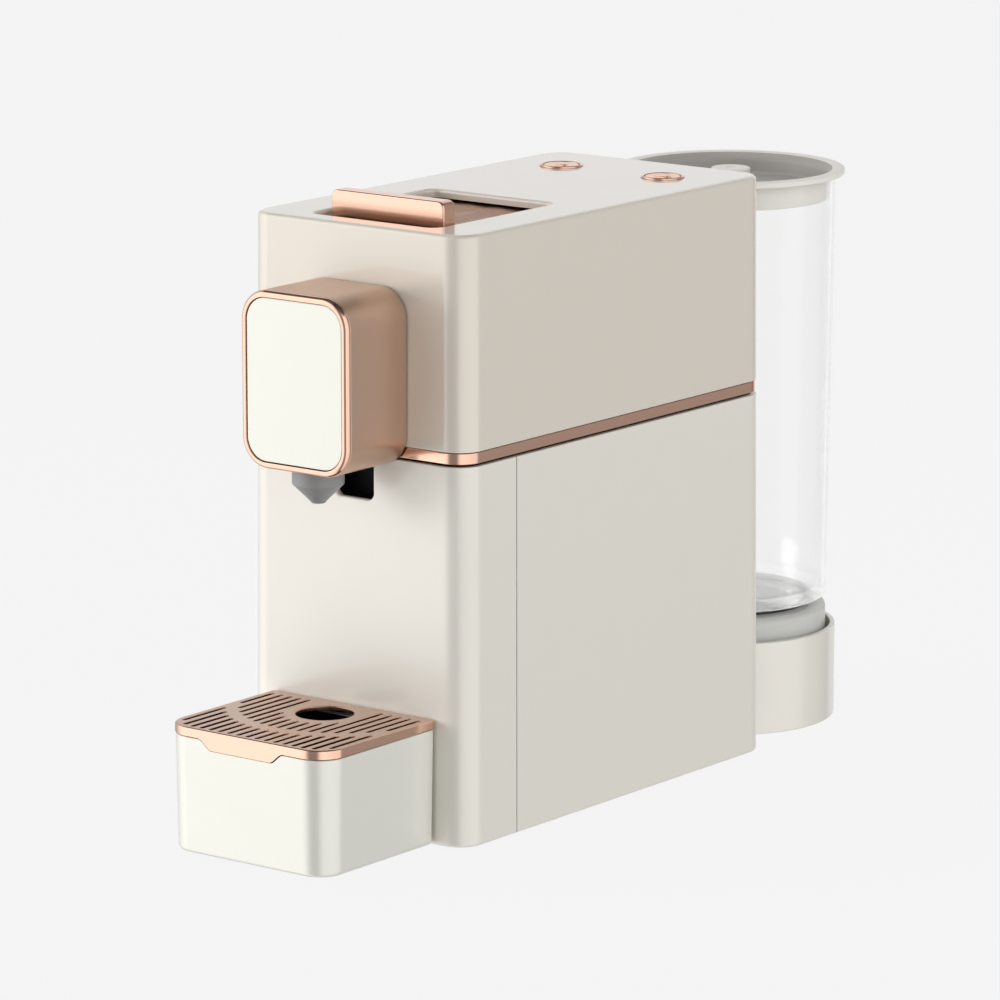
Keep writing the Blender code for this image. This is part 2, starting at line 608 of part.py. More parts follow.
def grille_slits():
    """Boxes for the slits, each run front to back and broken by the plain arc and the hole's collar."""
    boxes = []
    corner = TRAY_HALF - TRAY_RADIUS
    reach = TRAY_RADIUS - (SLIT_FRONT - TRAY_FRONT)
    for number in range(-SLIT_SIDE, SLIT_SIDE + 1):
        x = number * SLIT_PITCH
        outer_edge = abs(x) + SLIT_WIDTH / 2
        start = SLIT_FRONT
        if outer_edge > corner:
            start = TRAY_FRONT + TRAY_RADIUS - math.sqrt(reach**2 - (outer_edge - corner) ** 2)
        before_arc = ARC_Y - math.sqrt((ARC_RADIUS + ARC_HALF_WIDTH) ** 2 - x**2)
        after_arc = ARC_Y - math.sqrt((ARC_RADIUS - ARC_HALF_WIDTH) ** 2 - x**2)
        end = SLIT_BACK
        if abs(x) < HOLE_COLLAR:
            end = HOLE_Y - math.sqrt(HOLE_COLLAR**2 - x**2)
        boxes += [(x, start, before_arc), (x, after_arc, end)]
    return boxes


def tray():
    """The drip tray with its grille, and the bin for used pods behind it."""
    bm = bmesh.new()
    bmesh.ops.create_cube(bm, size=2.0)
    for vert in bm.verts:
        z = TRAY_TOP if vert.co.z > 0 else 0.0
        inward = GAP if vert.co.z > 0 else TRAY_DRAFT
        y = TRAY_FRONT + inward if vert.co.y < 0 else TRAY_BACK
        vert.co = Vector((math.copysign(TRAY_HALF - inward, vert.co.x) * MM, y * MM, z * MM))
    bm.normal_update()
    front_edges = [edge for edge in edges_along(bm, 2) if edge.verts[0].co.y < -0.15]
    round_edges(bm, front_edges, TRAY_RADIUS, 6)
    round_edges(bm, rim_edges(bm, 2, -1), 2.0, 2)
    body = mesh_object("drip_tray", bm, "cream_tray")
    basin = block(
        "tray_basin",
        (-TRAY_HALF + 3.4, TRAY_FRONT + 3.4, 2.4),
        (TRAY_HALF - 3.4, TRAY_BACK - 2.4, 70),
        None,
        9.0,
    )
    notch = [(-TAB_TOP_HALF - 1.4, 60), (-TAB_TOP_HALF - 0.6, TRAY_TOP)]
    notch += [(-TAB_BOTTOM_HALF - 0.6, TAB_BOTTOM - 0.4)]
    notch += [(-x, z) for x, z in reversed(notch)]
    combine(body, [basin, extruded("tab_notch", notch, 10, None, (TAB_X, TRAY_FRONT + 2, 0), "Y")])

    grille = block(
        "drip_grille",
        (-TRAY_HALF, TRAY_FRONT, GRILLE_BOTTOM),
        (TRAY_HALF, TRAY_BACK + 22, GRILLE_TOP),
        "rose_satin",
        TRAY_RADIUS,
        2,
        6,
        [(1, 0.6, 1)],
    )
    wall_end = block("grille_end", (-60, TRAY_BACK, 40), (60, TRAY_BACK + 40, 60), None)
    under = block(
        "grille_under",
        (-TRAY_HALF + 2, TRAY_FRONT + 2, 40),
        (TRAY_HALF - 2, TRAY_BACK - 2, GRILLE_TOP - GRILLE_PLATE),
        None,
        10.0,
    )
    tab = [(-TAB_TOP_HALF - 1, GRILLE_BOTTOM + 1), (-TAB_TOP_HALF, GRILLE_BOTTOM)]
    tab += [(-TAB_BOTTOM_HALF, TAB_BOTTOM)]
    tab += [(-x, z) for x, z in reversed(tab)]
    tongue = extruded("grille_tab", tab, 1.6, None, (TAB_X, TRAY_FRONT + 1.1, 0), "Y")
    hole = rod("drain_hole", HOLE_RADIUS, 45, 60, None, (0, HOLE_Y, 0), "Z", 32)
    half, low, high = SLIT_WIDTH / 2, GRILLE_TOP - 7, GRILLE_TOP + 7
    boxes = [((x - half, start, low), (x + half, end, high)) for x, start, end in grille_slits()]
    slits = boxes_object("slit_cutters", boxes, None)
    combine(grille, [wall_end, under, hole, slits])
    combine(grille, [tongue], "UNION")

    bin_front = TRAY_BACK + 0.4
    low, high = (-BIN_HALF, bin_front, BIN_BOTTOM), (BIN_HALF, BIN_BACK, BIN_TOP)
    bin_body = block("capsule_bin", low, high, "black_plastic", 3.0)
    low = (-BIN_HALF + BIN_WALL, bin_front + BIN_WALL, BIN_BOTTOM + BIN_WALL)
    high = (BIN_HALF - BIN_WALL, BIN_BACK - BIN_WALL, BIN_TOP + 20)
    combine(bin_body, [block("bin_room", low, high, None, 1.5)])


def tank():
    """The clear tank with its foot, seal, valve and lid, and the cup that it stands in."""
    at = (0, TANK_Y, 0)
    outside = [(0, CUP_RIM), (CUP_RADIUS, CUP_RIM), (CUP_RADIUS, -0.5)]
    outside += [(CUP_RADIUS - 1, -FOOT_DROP), (0, -FOOT_DROP)]
    cup = turned("tank_base_cup", outside, "cream_shell", at)
    neck = block("cup_neck", (-NECK_HALF, 105.3, -FOOT_DROP + 0.2), (NECK_HALF, 118, NECK_TOP), None, 2.0)
    combine(cup, [neck], "UNION")
    room = rod("cup_room", CUP_RADIUS - CUP_WALL, CUP_FLOOR, 60, None, at, "Z", 40)
    combine(cup, [room, rod("cup_bore", 3.6, 98, 124, None, (0, 0, PIPE_Z), "Y", 20)])
    post = [(0, 52), (3.2, 52), (3.2, 30), (8, 30), (8, 4), (14, 4)]
    post += [(14, CUP_FLOOR + GAP), (0, CUP_FLOOR + GAP)]
    turned("dock_post", post, "grey_plastic", at, "Z", 24)

    bottom, top = TANK_BOTTOM, TANK_TOP
    low, floor = TANK_LOW_RADIUS, TANK_FLOOR
    wall = [(TANK_TOP_RADIUS, top), (low, bottom + 2.2), (low - 0.6, bottom + 0.9), (low - 3.2, bottom)]
    wall += [(5.5, bottom), (5.5, floor), (low - TANK_WALL - 1.5, floor), (low - TANK_WALL, floor + 1.5)]
    wall += [(TANK_TOP_RADIUS - TANK_WALL, top)]
    turned("water_tank", wall, "clear_tank", at)
    foot = [(40.5, 48.7), (42.2, 48), (43, 46.2), (43, 1.4), (40.4, 1.4), (40.4, 44.4), (38.9, 45.9)]
    ring = turned("tank_foot", foot + [(30, 45.9), (30, 48.7)], "clear_tank", at)
    combine(ring, [block("pipe_notch", (-6, TANK_Y - 46, -4), (6, TANK_Y - 36, PIPE_Z + 6), None)])
    turned("tank_seal", [(36.1, 51), (36.1, 49), (33, 49), (33, 51)], "dark_rubber", at)
    poppet = [(0, 59.1), (7.5, 59.1), (7.5, 57.1), (2.4, 57.1), (2.4, 52.4), (0, 52.4)]
    turned("valve_poppet", poppet, "grey_plastic", at, "Z", 24)
    lid = [(0, 231), (39.8, 231), (40.6, 231.8), (41.4, 236), (43.2, 237.8), (45.4, 239), (46.6, LID_TOP)]
    lid += [(48.6, LID_TOP)]
    lid += [(LID_RADIUS, LID_TOP - 0.6), (LID_RADIUS, 237.3), (42.8, 237.3), (42.5, 227), (40.6, 227)]
    turned("tank_lid", lid + [(40.4, 229), (0, 229)], "lid_plastic", at)
    knob = [(0, 239), (1.5, 239.5), (7.6, 239.5), (8.5, 238.6), (8.2, 231.4), (0, 231.4)]
    turned("lid_knob", knob, "lid_plastic", at, "Z", 24)


clear_scene()
PARTS = collection("pod_coffee_machine")
CUTTERS = collection("cutters")
MATERIALS = make_materials()
MACHINE = bpy.data.objects.new("machine", None)
PARTS.objects.link(MACHINE)
MACHINE.location = [value * MM for value in FRAME_SHIFT]

casing()
chassis()
head()
pod_door()
brew_unit()
controls()
hydraulics()
tray()
tank()
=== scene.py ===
"""Looks of a pod coffee machine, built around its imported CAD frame.

Sizes are in millimetres, counted from the casing's datum: X to the right, -Y to the front, Z up from
the underside of the casing, with Y = 0 in the middle of the casing. The datum is read from the frame.
"""

import json
import logging
import math
from dataclasses import dataclass
from enum import Enum
from typing import Optional, Sequence

import bmesh
import bpy
import numpy as np
from mathutils import Matrix, Vector


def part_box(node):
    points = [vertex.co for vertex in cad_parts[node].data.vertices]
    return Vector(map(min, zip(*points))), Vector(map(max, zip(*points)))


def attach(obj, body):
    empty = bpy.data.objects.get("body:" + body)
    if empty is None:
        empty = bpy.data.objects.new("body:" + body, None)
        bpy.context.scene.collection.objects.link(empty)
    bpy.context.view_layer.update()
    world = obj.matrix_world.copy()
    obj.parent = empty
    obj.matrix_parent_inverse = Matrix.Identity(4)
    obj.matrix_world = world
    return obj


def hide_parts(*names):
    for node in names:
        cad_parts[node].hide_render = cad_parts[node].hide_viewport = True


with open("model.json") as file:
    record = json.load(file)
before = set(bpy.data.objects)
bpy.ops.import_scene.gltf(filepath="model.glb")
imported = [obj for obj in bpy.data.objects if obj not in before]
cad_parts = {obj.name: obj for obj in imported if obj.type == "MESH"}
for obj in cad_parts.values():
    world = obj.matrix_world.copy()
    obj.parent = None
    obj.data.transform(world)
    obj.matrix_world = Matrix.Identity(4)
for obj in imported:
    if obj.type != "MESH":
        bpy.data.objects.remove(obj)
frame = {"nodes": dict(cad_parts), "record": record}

LOG = logging.getLogger("pod_coffee_machine")
MM = 0.001
# The clear walls bend light hardly at all, as thin walls do, and get their shine from a coat.
THIN_WALL_IOR = 1.03
DULL_SPECULAR = 0.12
# Points of a mesh that lie closer than this, in millimetres, are merged.
MERGE_WITHIN = 0.002
# Drafted sides lean in by DRAFT for each unit of height, and keep their drawn place at DRAFT_HEIGHT.
DRAFT = 0.0062
DRAFT_HEIGHT = 123.0


def read_datum() -> np.ndarray:
    """The datum in metres: the middle of the housing in plan, at the underside of the front shell."""
    low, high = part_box("upper_housing")
    return np.array([(low.x + high.x) / 2, (low.y + high.y) / 2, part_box("front_shell")[0].z])


DATUM = read_datum()


# ---------------------------------------------------------------- finishes


class Texture(Enum):
    """How a surface was made, which decides its relief and how it takes light."""

    MOULDED = "moulded"
    BLASTED = "blasted"
    BRUSHED = "brushed"
    POLISHED = "polished"
    CLEAR = "clear"
    DULL = "dull"


def linear(code: str) -> tuple[float, float, float, float]:
    """The scene-linear colour of an sRGB hex code, with an alpha of one."""
    values = np.array([int(code[i : i + 2], 16) / 255 for i in (0, 2, 4)])
    lin = np.where(values <= 0.04045, values / 12.92, ((values + 0.055) / 1.055) ** 2.4)
    return (*lin.tolist(), 1.0)


def add_node(tree: bpy.types.NodeTree, kind: str, inputs: dict, **settings: object) -> bpy.types.Node:
    """Adds a shader node with its settings and its links.

    Args:
        tree: The node tree that takes the node.
        kind: The node's type name.
        inputs: Socket name or number to a value, or to an output socket that is linked to it.
        settings: Properties of the node.

    Returns:
        The new node.
    """
    node = tree.nodes.new(kind)
    for name, value in settings.items():
        setattr(node, name, value)
    for key, value in inputs.items():
        if isinstance(value, bpy.types.NodeSocket):
            tree.links.new(value, node.inputs[key])
        else:
            node.inputs[key].default_value = value
    return node


@dataclass(frozen=True)
class Finish:
    """A material: what it is, how its surface was made, and the size of its detail in millimetres.

    colour and shade are the two sRGB colours that slow blotches of size blotch drift between. grain is
    the size of the fine relief, depth its height, and run its stretch along each axis. scatter is how
    much the roughness wanders. coat is the weight of a clear coat and coat_blur its roughness. clarity
    and opacity belong to clear plastics: how much light goes through, and how much is left to see.
    """

    name: str
    colour: str
    shade: str
    roughness: float
    texture: Texture
    metallic: float = 0.0
    grain: float = 0.5
    depth: float = 0.004
    blotch: float = 18.0
    scatter: float = 0.03
    coat: float = 0.0
    coat_blur: float = 0.12
    clarity: float = 1.0
    opacity: float = 1.0
    run: tuple[float, float, float] = (1.0, 1.0, 1.0)

    def build(self) -> bpy.types.Material:
        """Makes the Blender material.

        Returns:
            The material, with colour, roughness and relief from noise on Object coordinates.
        """
        material = bpy.data.materials.new(self.name)
        material.use_nodes = True
        tree = material.node_tree
        shader = tree.nodes["Principled BSDF"]
        place = add_node(tree, "ShaderNodeTexCoord", {}).outputs["Object"]
        slow = add_node(
            tree, "ShaderNodeTexNoise", {"Vector": place, "Scale": 1 / (self.blotch * MM), "Detail": 3.0}
        ).outputs["Fac"]
        colour = add_node(
            tree,
            "ShaderNodeMix",
            {"Factor": slow, "A": linear(self.colour), "B": linear(self.shade)},
            data_type="RGBA",
        )
        tree.links.new(colour.outputs["Result"], shader.inputs["Base Color"])
        spread = add_node(
            tree,
            "ShaderNodeMapRange",
            {
                "Value": slow,
                "To Min": max(self.roughness - self.scatter, 0.0),
                "To Max": self.roughness + self.scatter,
            },
        )
        tree.links.new(spread.outputs["Result"], shader.inputs["Roughness"])
        tree.links.new(self.relief(tree, place), shader.inputs["Normal"])
        shader.inputs["Metallic"].default_value = self.metallic
        shader.inputs["Coat Weight"].default_value = self.coat
        shader.inputs["Coat Roughness"].default_value = self.coat_blur
        if self.texture is Texture.CLEAR:
            shader.inputs["Transmission Weight"].default_value = self.clarity
            shader.inputs["IOR"].default_value = THIN_WALL_IOR
            shader.inputs["Alpha"].default_value = self.opacity
        if self.texture is Texture.DULL:
            shader.inputs["Specular IOR Level"].default_value = DULL_SPECULAR
        return material

    def relief(self, tree: bpy.types.NodeTree, place: bpy.types.NodeSocket) -> bpy.types.NodeSocket:
        """The fine relief: even noise, or noise that is drawn out along the run of the brush.

        Args:
            tree: The material's nodes.
            place: The coordinates to read.

        Returns:
            The bumped normal.
        """
        stretch = {"Vector": place, "Scale": self.run}
        stretched = add_node(tree, "ShaderNodeMapping", stretch).outputs["Vector"]
        detail = 1.0 if self.texture in (Texture.CLEAR, Texture.POLISHED) else 4.0
        fine = add_node(
            tree,
            "ShaderNodeTexNoise",
            {"Vector": stretched, "Scale": 1 / (self.grain * MM), "Detail": detail, "Roughness": 0.6},
        )
        height = {"Height": fine.outputs["Fac"], "Strength": 1.0, "Distance": self.depth * MM}
        return add_node(tree, "ShaderNodeBump", height).outputs["Normal"]


# ABS under a sprayed pearl lacquer and a clear coat: a soft metal sheen, which mirrors the studio in
# wide bands on the corners.
UPPER_ABS = Finish(
    "pearl_lacquered_abs", "DCD4C8", "DAD2C6", 0.3, Texture.MOULDED, 0.15, grain=0.5, depth=0.0006,
    coat=1.0, coat_blur=0.05,
)
# The lower shells are sprayed a touch greyer, under a thinner clear coat.
LOWER_ABS = Finish(
    "pearl_lacquered_abs_lower", "E3DFD6", "E1DDD4", 0.34, Texture.MOULDED, 0.12, grain=0.5,
    depth=0.001, coat=0.6,
)
# The tray's lacquer is whiter and has more metal in it, under a thinner clear coat.
TRAY_ABS = Finish(
    "white_abs_tray", "E6E5DC", "E4E3DA", 0.34, Texture.MOULDED, 0.3, grain=0.6, depth=0.002, coat=0.5
)
# The head's front is high gloss ABS from a polished tool, with only a long soft orange peel.
PANEL_ABS = Finish(
    "gloss_abs_panel", "EBEBE0", "E9E9DE", 0.16, Texture.POLISHED, grain=7.0, depth=0.004, coat=0.5
)
# The lid is moulded in a greyer ABS.
LID_ABS = Finish("satin_abs_lid", "E2DED7", "DEDAD3", 0.4, Texture.MOULDED, grain=0.5, depth=0.003)
# Vacuum-plated ABS: a bright copper-tin mirror, slightly wavy from the moulding below it.
ROSE_BRIGHT = Finish(
    "rose_gold_plate", "F0C5AF", "EDC0AA", 0.14, Texture.POLISHED, 1.0, grain=5.0, depth=0.002,
    scatter=0.02,
)
# Anodised aluminium, bead blasted before the bath: satin, with a fine glitter of the blasting.
ROSE_SATIN = Finish(
    "rose_anodised_aluminium", "DBBCA8", "D7B7A2", 0.36, Texture.BLASTED, 1.0, grain=0.35, depth=0.008
)
# The grille is anodised too, with its top brushed from side to side.
ROSE_BRUSHED = Finish(
    "rose_anodised_grille", "CBAB99", "C5A491", 0.27, Texture.BRUSHED, 1.0, grain=0.3, depth=0.004,
    run=(0.03, 1, 1),
)
# Anodised aluminium extrusion: it looks darker than the plated parts, because its grooves see each other.
ROSE_COVER = Finish(
    "rose_anodised_cover", "DAB7A4", "D4B09C", 0.3, Texture.BRUSHED, 1.0, grain=0.3, depth=0.0015
)
# Painted shade: the upright faces of the grille away from its rim, mostly the walls of the slits and the
# hole, get a dark brown in place of the shadow inside them.
ROSE_SLIT_SHADE = Finish(
    "rose_anodised_slit_painted_shade", "5A3A2A", "4E3224", 0.5, Texture.BLASTED, 1.0, grain=0.4, depth=0.01
)
# Painted shade: the lid's dish gets a darker grey than the lid, in place of the shadow inside the deep dish.
DISH_PAINTED_SHADE = Finish("satin_abs_dish_painted_shade", "A5A19C", "A19D98", 0.4, Texture.MOULDED, grain=0.5, depth=0.003)
# Black ABS from a spark-eroded tool, which hardly shines at all. In the drip tray's basin it is painted
# shade.
BLACK_ABS_AND_PAINTED_SHADE = Finish("black_abs_and_painted_shade", "0A0A0A", "0E0E0E", 0.6, Texture.DULL, grain=0.4, depth=0.012)
# Polypropylene from a plain tool: an even satin grey.
GREY_PP = Finish("grey_polypropylene", "8A8A8A", "848484", 0.4, Texture.MOULDED, grain=0.8, depth=0.005)
# Moulded rubber: dark and almost without shine.
RUBBER = Finish("moulded_rubber", "2A2A2A", "343434", 0.78, Texture.MOULDED, grain=0.7, depth=0.02)
# Silicone hose: milky, with a soft skin.
SILICONE = Finish("silicone_hose", "D8DAD6", "CDCFCA", 0.5, Texture.MOULDED, grain=1.5, depth=0.01)
# Clear copolyester: water-clear, with the faint long flow lines of moulding.
CLEAR_TANK = Finish(
    "clear_copolyester", "FDFDFD", "FBFBFB", 0.02, Texture.CLEAR, grain=30.0, depth=0.01,
    scatter=0.01, coat=1.0, coat_blur=0.03, opacity=0.62,
)
# The foot is the same plastic, frosted from a blasted tool.
FROSTED_FOOT = Finish(
    "frosted_copolyester", "F0F0EC", "ECECE8", 0.25, Texture.CLEAR, grain=0.5, depth=0.004,
    clarity=0.45, coat=0.5,
)
# Cast aluminium, blasted: a dull metal with a fine grain.
CAST_ALUMINIUM = Finish(
    "cast_aluminium", "B9BABC", "A9AAAC", 0.4, Texture.BLASTED, 1.0, grain=0.6, depth=0.03, scatter=0.06
)
# Brushed stainless steel: fine lines draw the highlight out.
STAINLESS = Finish(
    "stainless_steel", "C2C0BD", "B6B4B1", 0.24, Texture.BRUSHED, 1.0, grain=0.3, depth=0.004,
    run=(1, 1, 0.05),
)
# Solder resist over copper: glossy green with slow ripples.
SOLDER_RESIST = Finish(
    "solder_resist", "1F5B3A", "174A2E", 0.35, Texture.MOULDED, grain=2.0, depth=0.02, coat=0.4
)

SLOT_FINISHES = {
    "shell": LOWER_ABS,
    "tray_shell": TRAY_ABS,
    "panel": PANEL_ABS,
    "rose_gold": ROSE_BRIGHT,
    "rose_satin": ROSE_SATIN,
    "black_plastic": BLACK_ABS_AND_PAINTED_SHADE,
    "grey_plastic": GREY_PP,
    "dark_rubber": RUBBER,
    "clear_tank": CLEAR_TANK,
    "lid_plastic": LID_ABS,
    "aluminium": CAST_ALUMINIUM,
    "steel": STAINLESS,
    "circuit_green": SOLDER_RESIST,
    "silicone": SILICONE,
}


class Workshop:
    """Keeps each finish's material, so that it is built once."""

    def __init__(self) -> None:
        """Starts with no materials."""
        self.made: dict[str, bpy.types.Material] = {}

    def material(self, finish: Finish) -> bpy.types.Material:
        """The material of a finish, built when it is first asked for."""
        if finish.name not in self.made:
            self.made[finish.name] = finish.build()
        return self.made[finish.name]


WORKSHOP = Workshop()


# ---------------------------------------------------------------- shapes


def arc(
    centre: tuple[float, float], radius: float, start: float, end: float, steps: int = 6
) -> np.ndarray:
    """Points on a circle from one angle to another: centre + radius * (cos, sin).

    Args:
        centre: The arc's centre.
        radius: Its radius.
        start: The first angle, in degrees.
        end: The last angle, in degrees.
        steps: The number of chords.

    Returns:
        An array of (steps + 1, 2) points.
    """
    angle = np.radians(np.linspace(start, end, steps + 1))
    return np.stack([centre[0] + radius * np.cos(angle), centre[1] + radius * np.sin(angle)], 1)


def profile(*pieces: object) -> np.ndarray:
    """Joins points and arcs into one (n, 2) profile."""
    return np.concatenate([np.atleast_2d(np.asarray(piece, float)) for piece in pieces])


def grid_faces(rows: int, columns: int, wrap_rows: bool, wrap_columns: bool) -> list[list[int]]:
    """The quads of a grid of points, row after row.

    Args:
        rows: The number of rows.
        columns: The number of points in a row.
        wrap_rows: Whether the last row joins the first.
        wrap_columns: Whether a row's last point joins its first.

    Returns:
        A list of faces.
    """
    row = np.arange(rows if wrap_rows else rows - 1)[:, None]
    column = np.arange(columns if wrap_columns else columns - 1)[None, :]
    below, beside = (row + 1) % rows, (column + 1) % columns
    here, under = row * columns, below * columns
    corners = [here + column, here + beside, under + beside, under + column]
    return np.stack(np.broadcast_arrays(*corners), -1).reshape(-1, 4).tolist()


@dataclass
class Shape:
    """A closed surface: its points in millimetres from the datum, and its faces."""

    points: np.ndarray
    faces: list[list[int]]

    def __add__(self, other: "Shape") -> "Shape":
        """Both surfaces as one set of points and faces, without joining them."""
        start = len(self.points)
        faces = self.faces + [[corner + start for corner in face] for face in other.faces]
        return Shape(np.concatenate([self.points, other.points]), faces)

    def moved(self, x: float = 0.0, y: float = 0.0, z: float = 0.0) -> "Shape":
        """The surface, moved."""
        return Shape(self.points + np.array([x, y, z]), self.faces)

    def laid_along_y(self) -> "Shape":
        """The surface with its height laid along Y and its Y stood up along Z."""
        return Shape(self.points[:, [0, 2, 1]], self.faces)

    def drafted(self) -> "Shape":
        """The surface with the casing's draft, which leans each side in towards the top."""
        points = self.points.copy()
        lean = DRAFT * (DRAFT_HEIGHT - points[:, 2])
        points[:, 0] += np.sign(points[:, 0]) * lean
        points[:, 1] += np.sign(points[:, 1]) * lean
        return Shape(points, self.faces)


def lofted(rings: np.ndarray, ring_loop: bool = False) -> Shape:
    """A surface through rings of points, closed round each ring.

    Args:
        rings: An array of (rings, points, 3).
        ring_loop: Whether the last ring joins the first. If not, both end rings are filled.

    Returns:
        The closed surface.
    """
    count, around, _ = rings.shape
    faces = grid_faces(count, around, ring_loop, True)
    if not ring_loop:
        faces += [list(range(around)), list(range((count - 1) * around, count * around))]
    return Shape(rings.reshape(-1, 3), faces)


@dataclass(frozen=True)
class Outline:
    """A rectangle with rounded corners, which can be drawn in by an inset.

    The corners come in the order back right, back left, front left, front right. Each is a quarter
    circle about its own centre, and the sides are the straight lines between them.
    """

    half_x: float
    half_y: float
    radii: tuple[float, float, float, float]
    steps: int = 12

    def at(self, inset: np.ndarray) -> np.ndarray:
        """The outline at each inset.

        Args:
            inset: How far each outline is drawn in. Less than zero draws it out.

        Returns:
            An array of (insets, points, 2).
        """
        inset = np.asarray(inset, float)[:, None]
        loops = []
        corners = zip(self.radii, ((1, 1, 0), (-1, 1, 90), (-1, -1, 180), (1, -1, 270)))
        for radius, (side_x, side_y, start) in corners:
            angle = np.radians(start + np.linspace(0, 90, self.steps + 1))[None, :]
            rounding = np.maximum(radius - inset, 0.05)
            centre_x = side_x * (self.half_x - inset - rounding)
            centre_y = side_y * (self.half_y - inset - rounding)
            x, y = centre_x + rounding * np.cos(angle), centre_y + rounding * np.sin(angle)
            loops.append(np.stack([x, y], -1))
        return np.concatenate(loops, 1)


def swept(outline: Outline, section: np.ndarray, ring_loop: bool = False) -> Shape:
    """A section of (inset, height) points carried round an outline.

    Args:
        outline: The path.
        section: The section's points.
        ring_loop: Whether the section is a closed loop. If not, both ends are filled.

    Returns:
        The surface, upright about Z.
    """
    flat = outline.at(section[:, 0])
    height = np.broadcast_to(section[:, 1][:, None, None], (*flat.shape[:2], 1))
    return lofted(np.concatenate([flat, height], -1), ring_loop)


def even(half_x: float, half_y: float, radius: float, steps: int = 12) -> Outline:
    """An outline with four equal corners."""
    return Outline(half_x, half_y, (radius, radius, radius, radius), steps)


def turned(section: np.ndarray, steps: int = 96) -> Shape:
    """A section of (radius, height) points turned about Z: (r cos a, r sin a, h).

    Args:
        section: The points. A section that ends on the axis is open, and any other is a closed loop.
        steps: The number of stretches in a full turn.

    Returns:
        The surface.
    """
    angle = np.arange(steps) * math.tau / steps
    radius, height = section[:, 0][:, None], section[:, 1][:, None]
    height = np.broadcast_to(height, (len(section), steps))
    rings = np.stack([radius * np.cos(angle), radius * np.sin(angle), height], -1)
    on_axis = section[0, 0] < 1e-6 and section[-1, 0] < 1e-6
    return Shape(rings.reshape(-1, 3), grid_faces(len(section), steps, not on_axis, True))


def slab(
    low: float, high: float, edge: float, steps: int = 4, edge_low: Optional[float] = None
) -> np.ndarray:
    """The (inset, height) section of a solid slab with rounded edges.

    Args:
        low: The height of its lower face.
        high: The height of its upper face.
        edge: The rounding of the upper edge.
        steps: The chords in each rounding.
        edge_low: The rounding of the lower edge, the same as the upper one if left out.

    Returns:
        The section, from the lower face to the upper one.
    """
    lower = edge if edge_low is None else edge_low
    return profile(
        arc((lower, low + lower), lower, 270, 180, steps), arc((edge, high - edge), edge, 180, 90, steps)
    )


def flared(low: float, rim: float, high: float, flare: float, steps: int = 5) -> np.ndarray:
    """The (inset, height) section of a cutter that widens at the rim by a quarter circle.

    Args:
        low: The height where the cutter starts.
        rim: The height of the face that it cuts.
        high: The height where it ends.
        flare: The rounding that it leaves on the rim.
        steps: The chords in the rounding.

    Returns:
        The section, from low to high.
    """
    return profile((0, low), arc((-flare, rim - flare), flare, 0, 90, steps), (-flare, high))


def bore_along_y(radius: float, low: float, high: float) -> Shape:
    """A plain round cutter along Y, from y = low to y = high."""
    return turned(profile((0, low), (radius, low), (radius, high), (0, high)), 32).laid_along_y()


def extruded_x(outline: np.ndarray, low: float, high: float) -> Shape:
    """A flat (y, z) outline carried along X from low to high."""
    ends = [np.column_stack([np.full(len(outline), x), outline]) for x in (low, high)]
    return lofted(np.stack(ends))


def extruded_y(outline: np.ndarray, low: float, high: float) -> Shape:
    """A flat (x, z) outline carried along Y from low to high."""
    x, z = outline.T
    ends = [np.column_stack([x, np.full(len(outline), y), z]) for y in (low, high)]
    return lofted(np.stack(ends))


# ---------------------------------------------------------------- pieces


def as_object(name: str, shape: Shape) -> bpy.types.Object:
    """Puts a shape into a mesh object, in metres, with its faces turned outwards.

    Args:
        name: The object's name.
        shape: The surface.

    Returns:
        The new object.
    """
    mesh = bpy.data.meshes.new(name)
    mesh.from_pydata((shape.points * MM + DATUM).tolist(), [], shape.faces)
    work = bmesh.new()
    work.from_mesh(mesh)
    bmesh.ops.remove_doubles(work, verts=work.verts, dist=MERGE_WITHIN * MM)
    bmesh.ops.recalc_face_normals(work, faces=work.faces)
    work.to_mesh(mesh)
    work.free()
    made = bpy.data.objects.new(name, mesh)
    bpy.context.scene.collection.objects.link(made)
    return made


def shaped(target: bpy.types.Object, steps: Sequence[tuple[str, Shape]]) -> bpy.types.Object:
    """Cuts shapes out of an object, or joins them on, and keeps the result as its mesh.

    Args:
        target: The object to change.
        steps: Pairs of "DIFFERENCE" or "UNION" and the shape.

    Returns:
        The same object.
    """
    for operation, shape in steps:
        tool = as_object("tool", shape)
        modifier = target.modifiers.new("shape", "BOOLEAN")
        modifier.operation = operation
        modifier.solver = "EXACT"
        modifier.object = tool
        graph = bpy.context.evaluated_depsgraph_get()
        mesh = bpy.data.meshes.new_from_object(target.evaluated_get(graph))
        target.modifiers.remove(modifier)
        target.data = mesh
        bpy.data.objects.remove(tool, do_unlink=True)
    return target


def face_data(piece: bpy.types.Object) -> tuple[np.ndarray, np.ndarray]:
    """The middle of each face, in millimetres from the datum, and its normal."""
    count = len(piece.data.polygons)
    centres, normals = np.zeros(count * 3), np.zeros(count * 3)
    piece.data.polygons.foreach_get("center", centres)
    piece.data.polygons.foreach_get("normal", normals)
    return (centres.reshape(-1, 3) - DATUM) / MM, normals.reshape(-1, 3)


def recoated(piece: bpy.types.Object, finish: Finish, chosen: np.ndarray) -> None:
    """Gives the chosen faces of a piece a second finish.

    Args:
        piece: The piece, which has one finish already.
        finish: The second finish.
        chosen: One truth value for each face.
    """
    slots = np.zeros(len(piece.data.polygons), np.int32)
    piece.data.polygons.foreach_get("material_index", slots)
    piece.data.materials.append(WORKSHOP.material(finish))
    newest = len(piece.data.materials) - 1
    piece.data.polygons.foreach_set("material_index", np.where(chosen, newest, slots))
    piece.data.update()


@dataclass(frozen=True)
class Role:
    """What a piece is for: its body, its record slot, and the CAD nodes that it stands for."""

    body: str
    slot: str
    nodes: tuple[str, ...] = ()


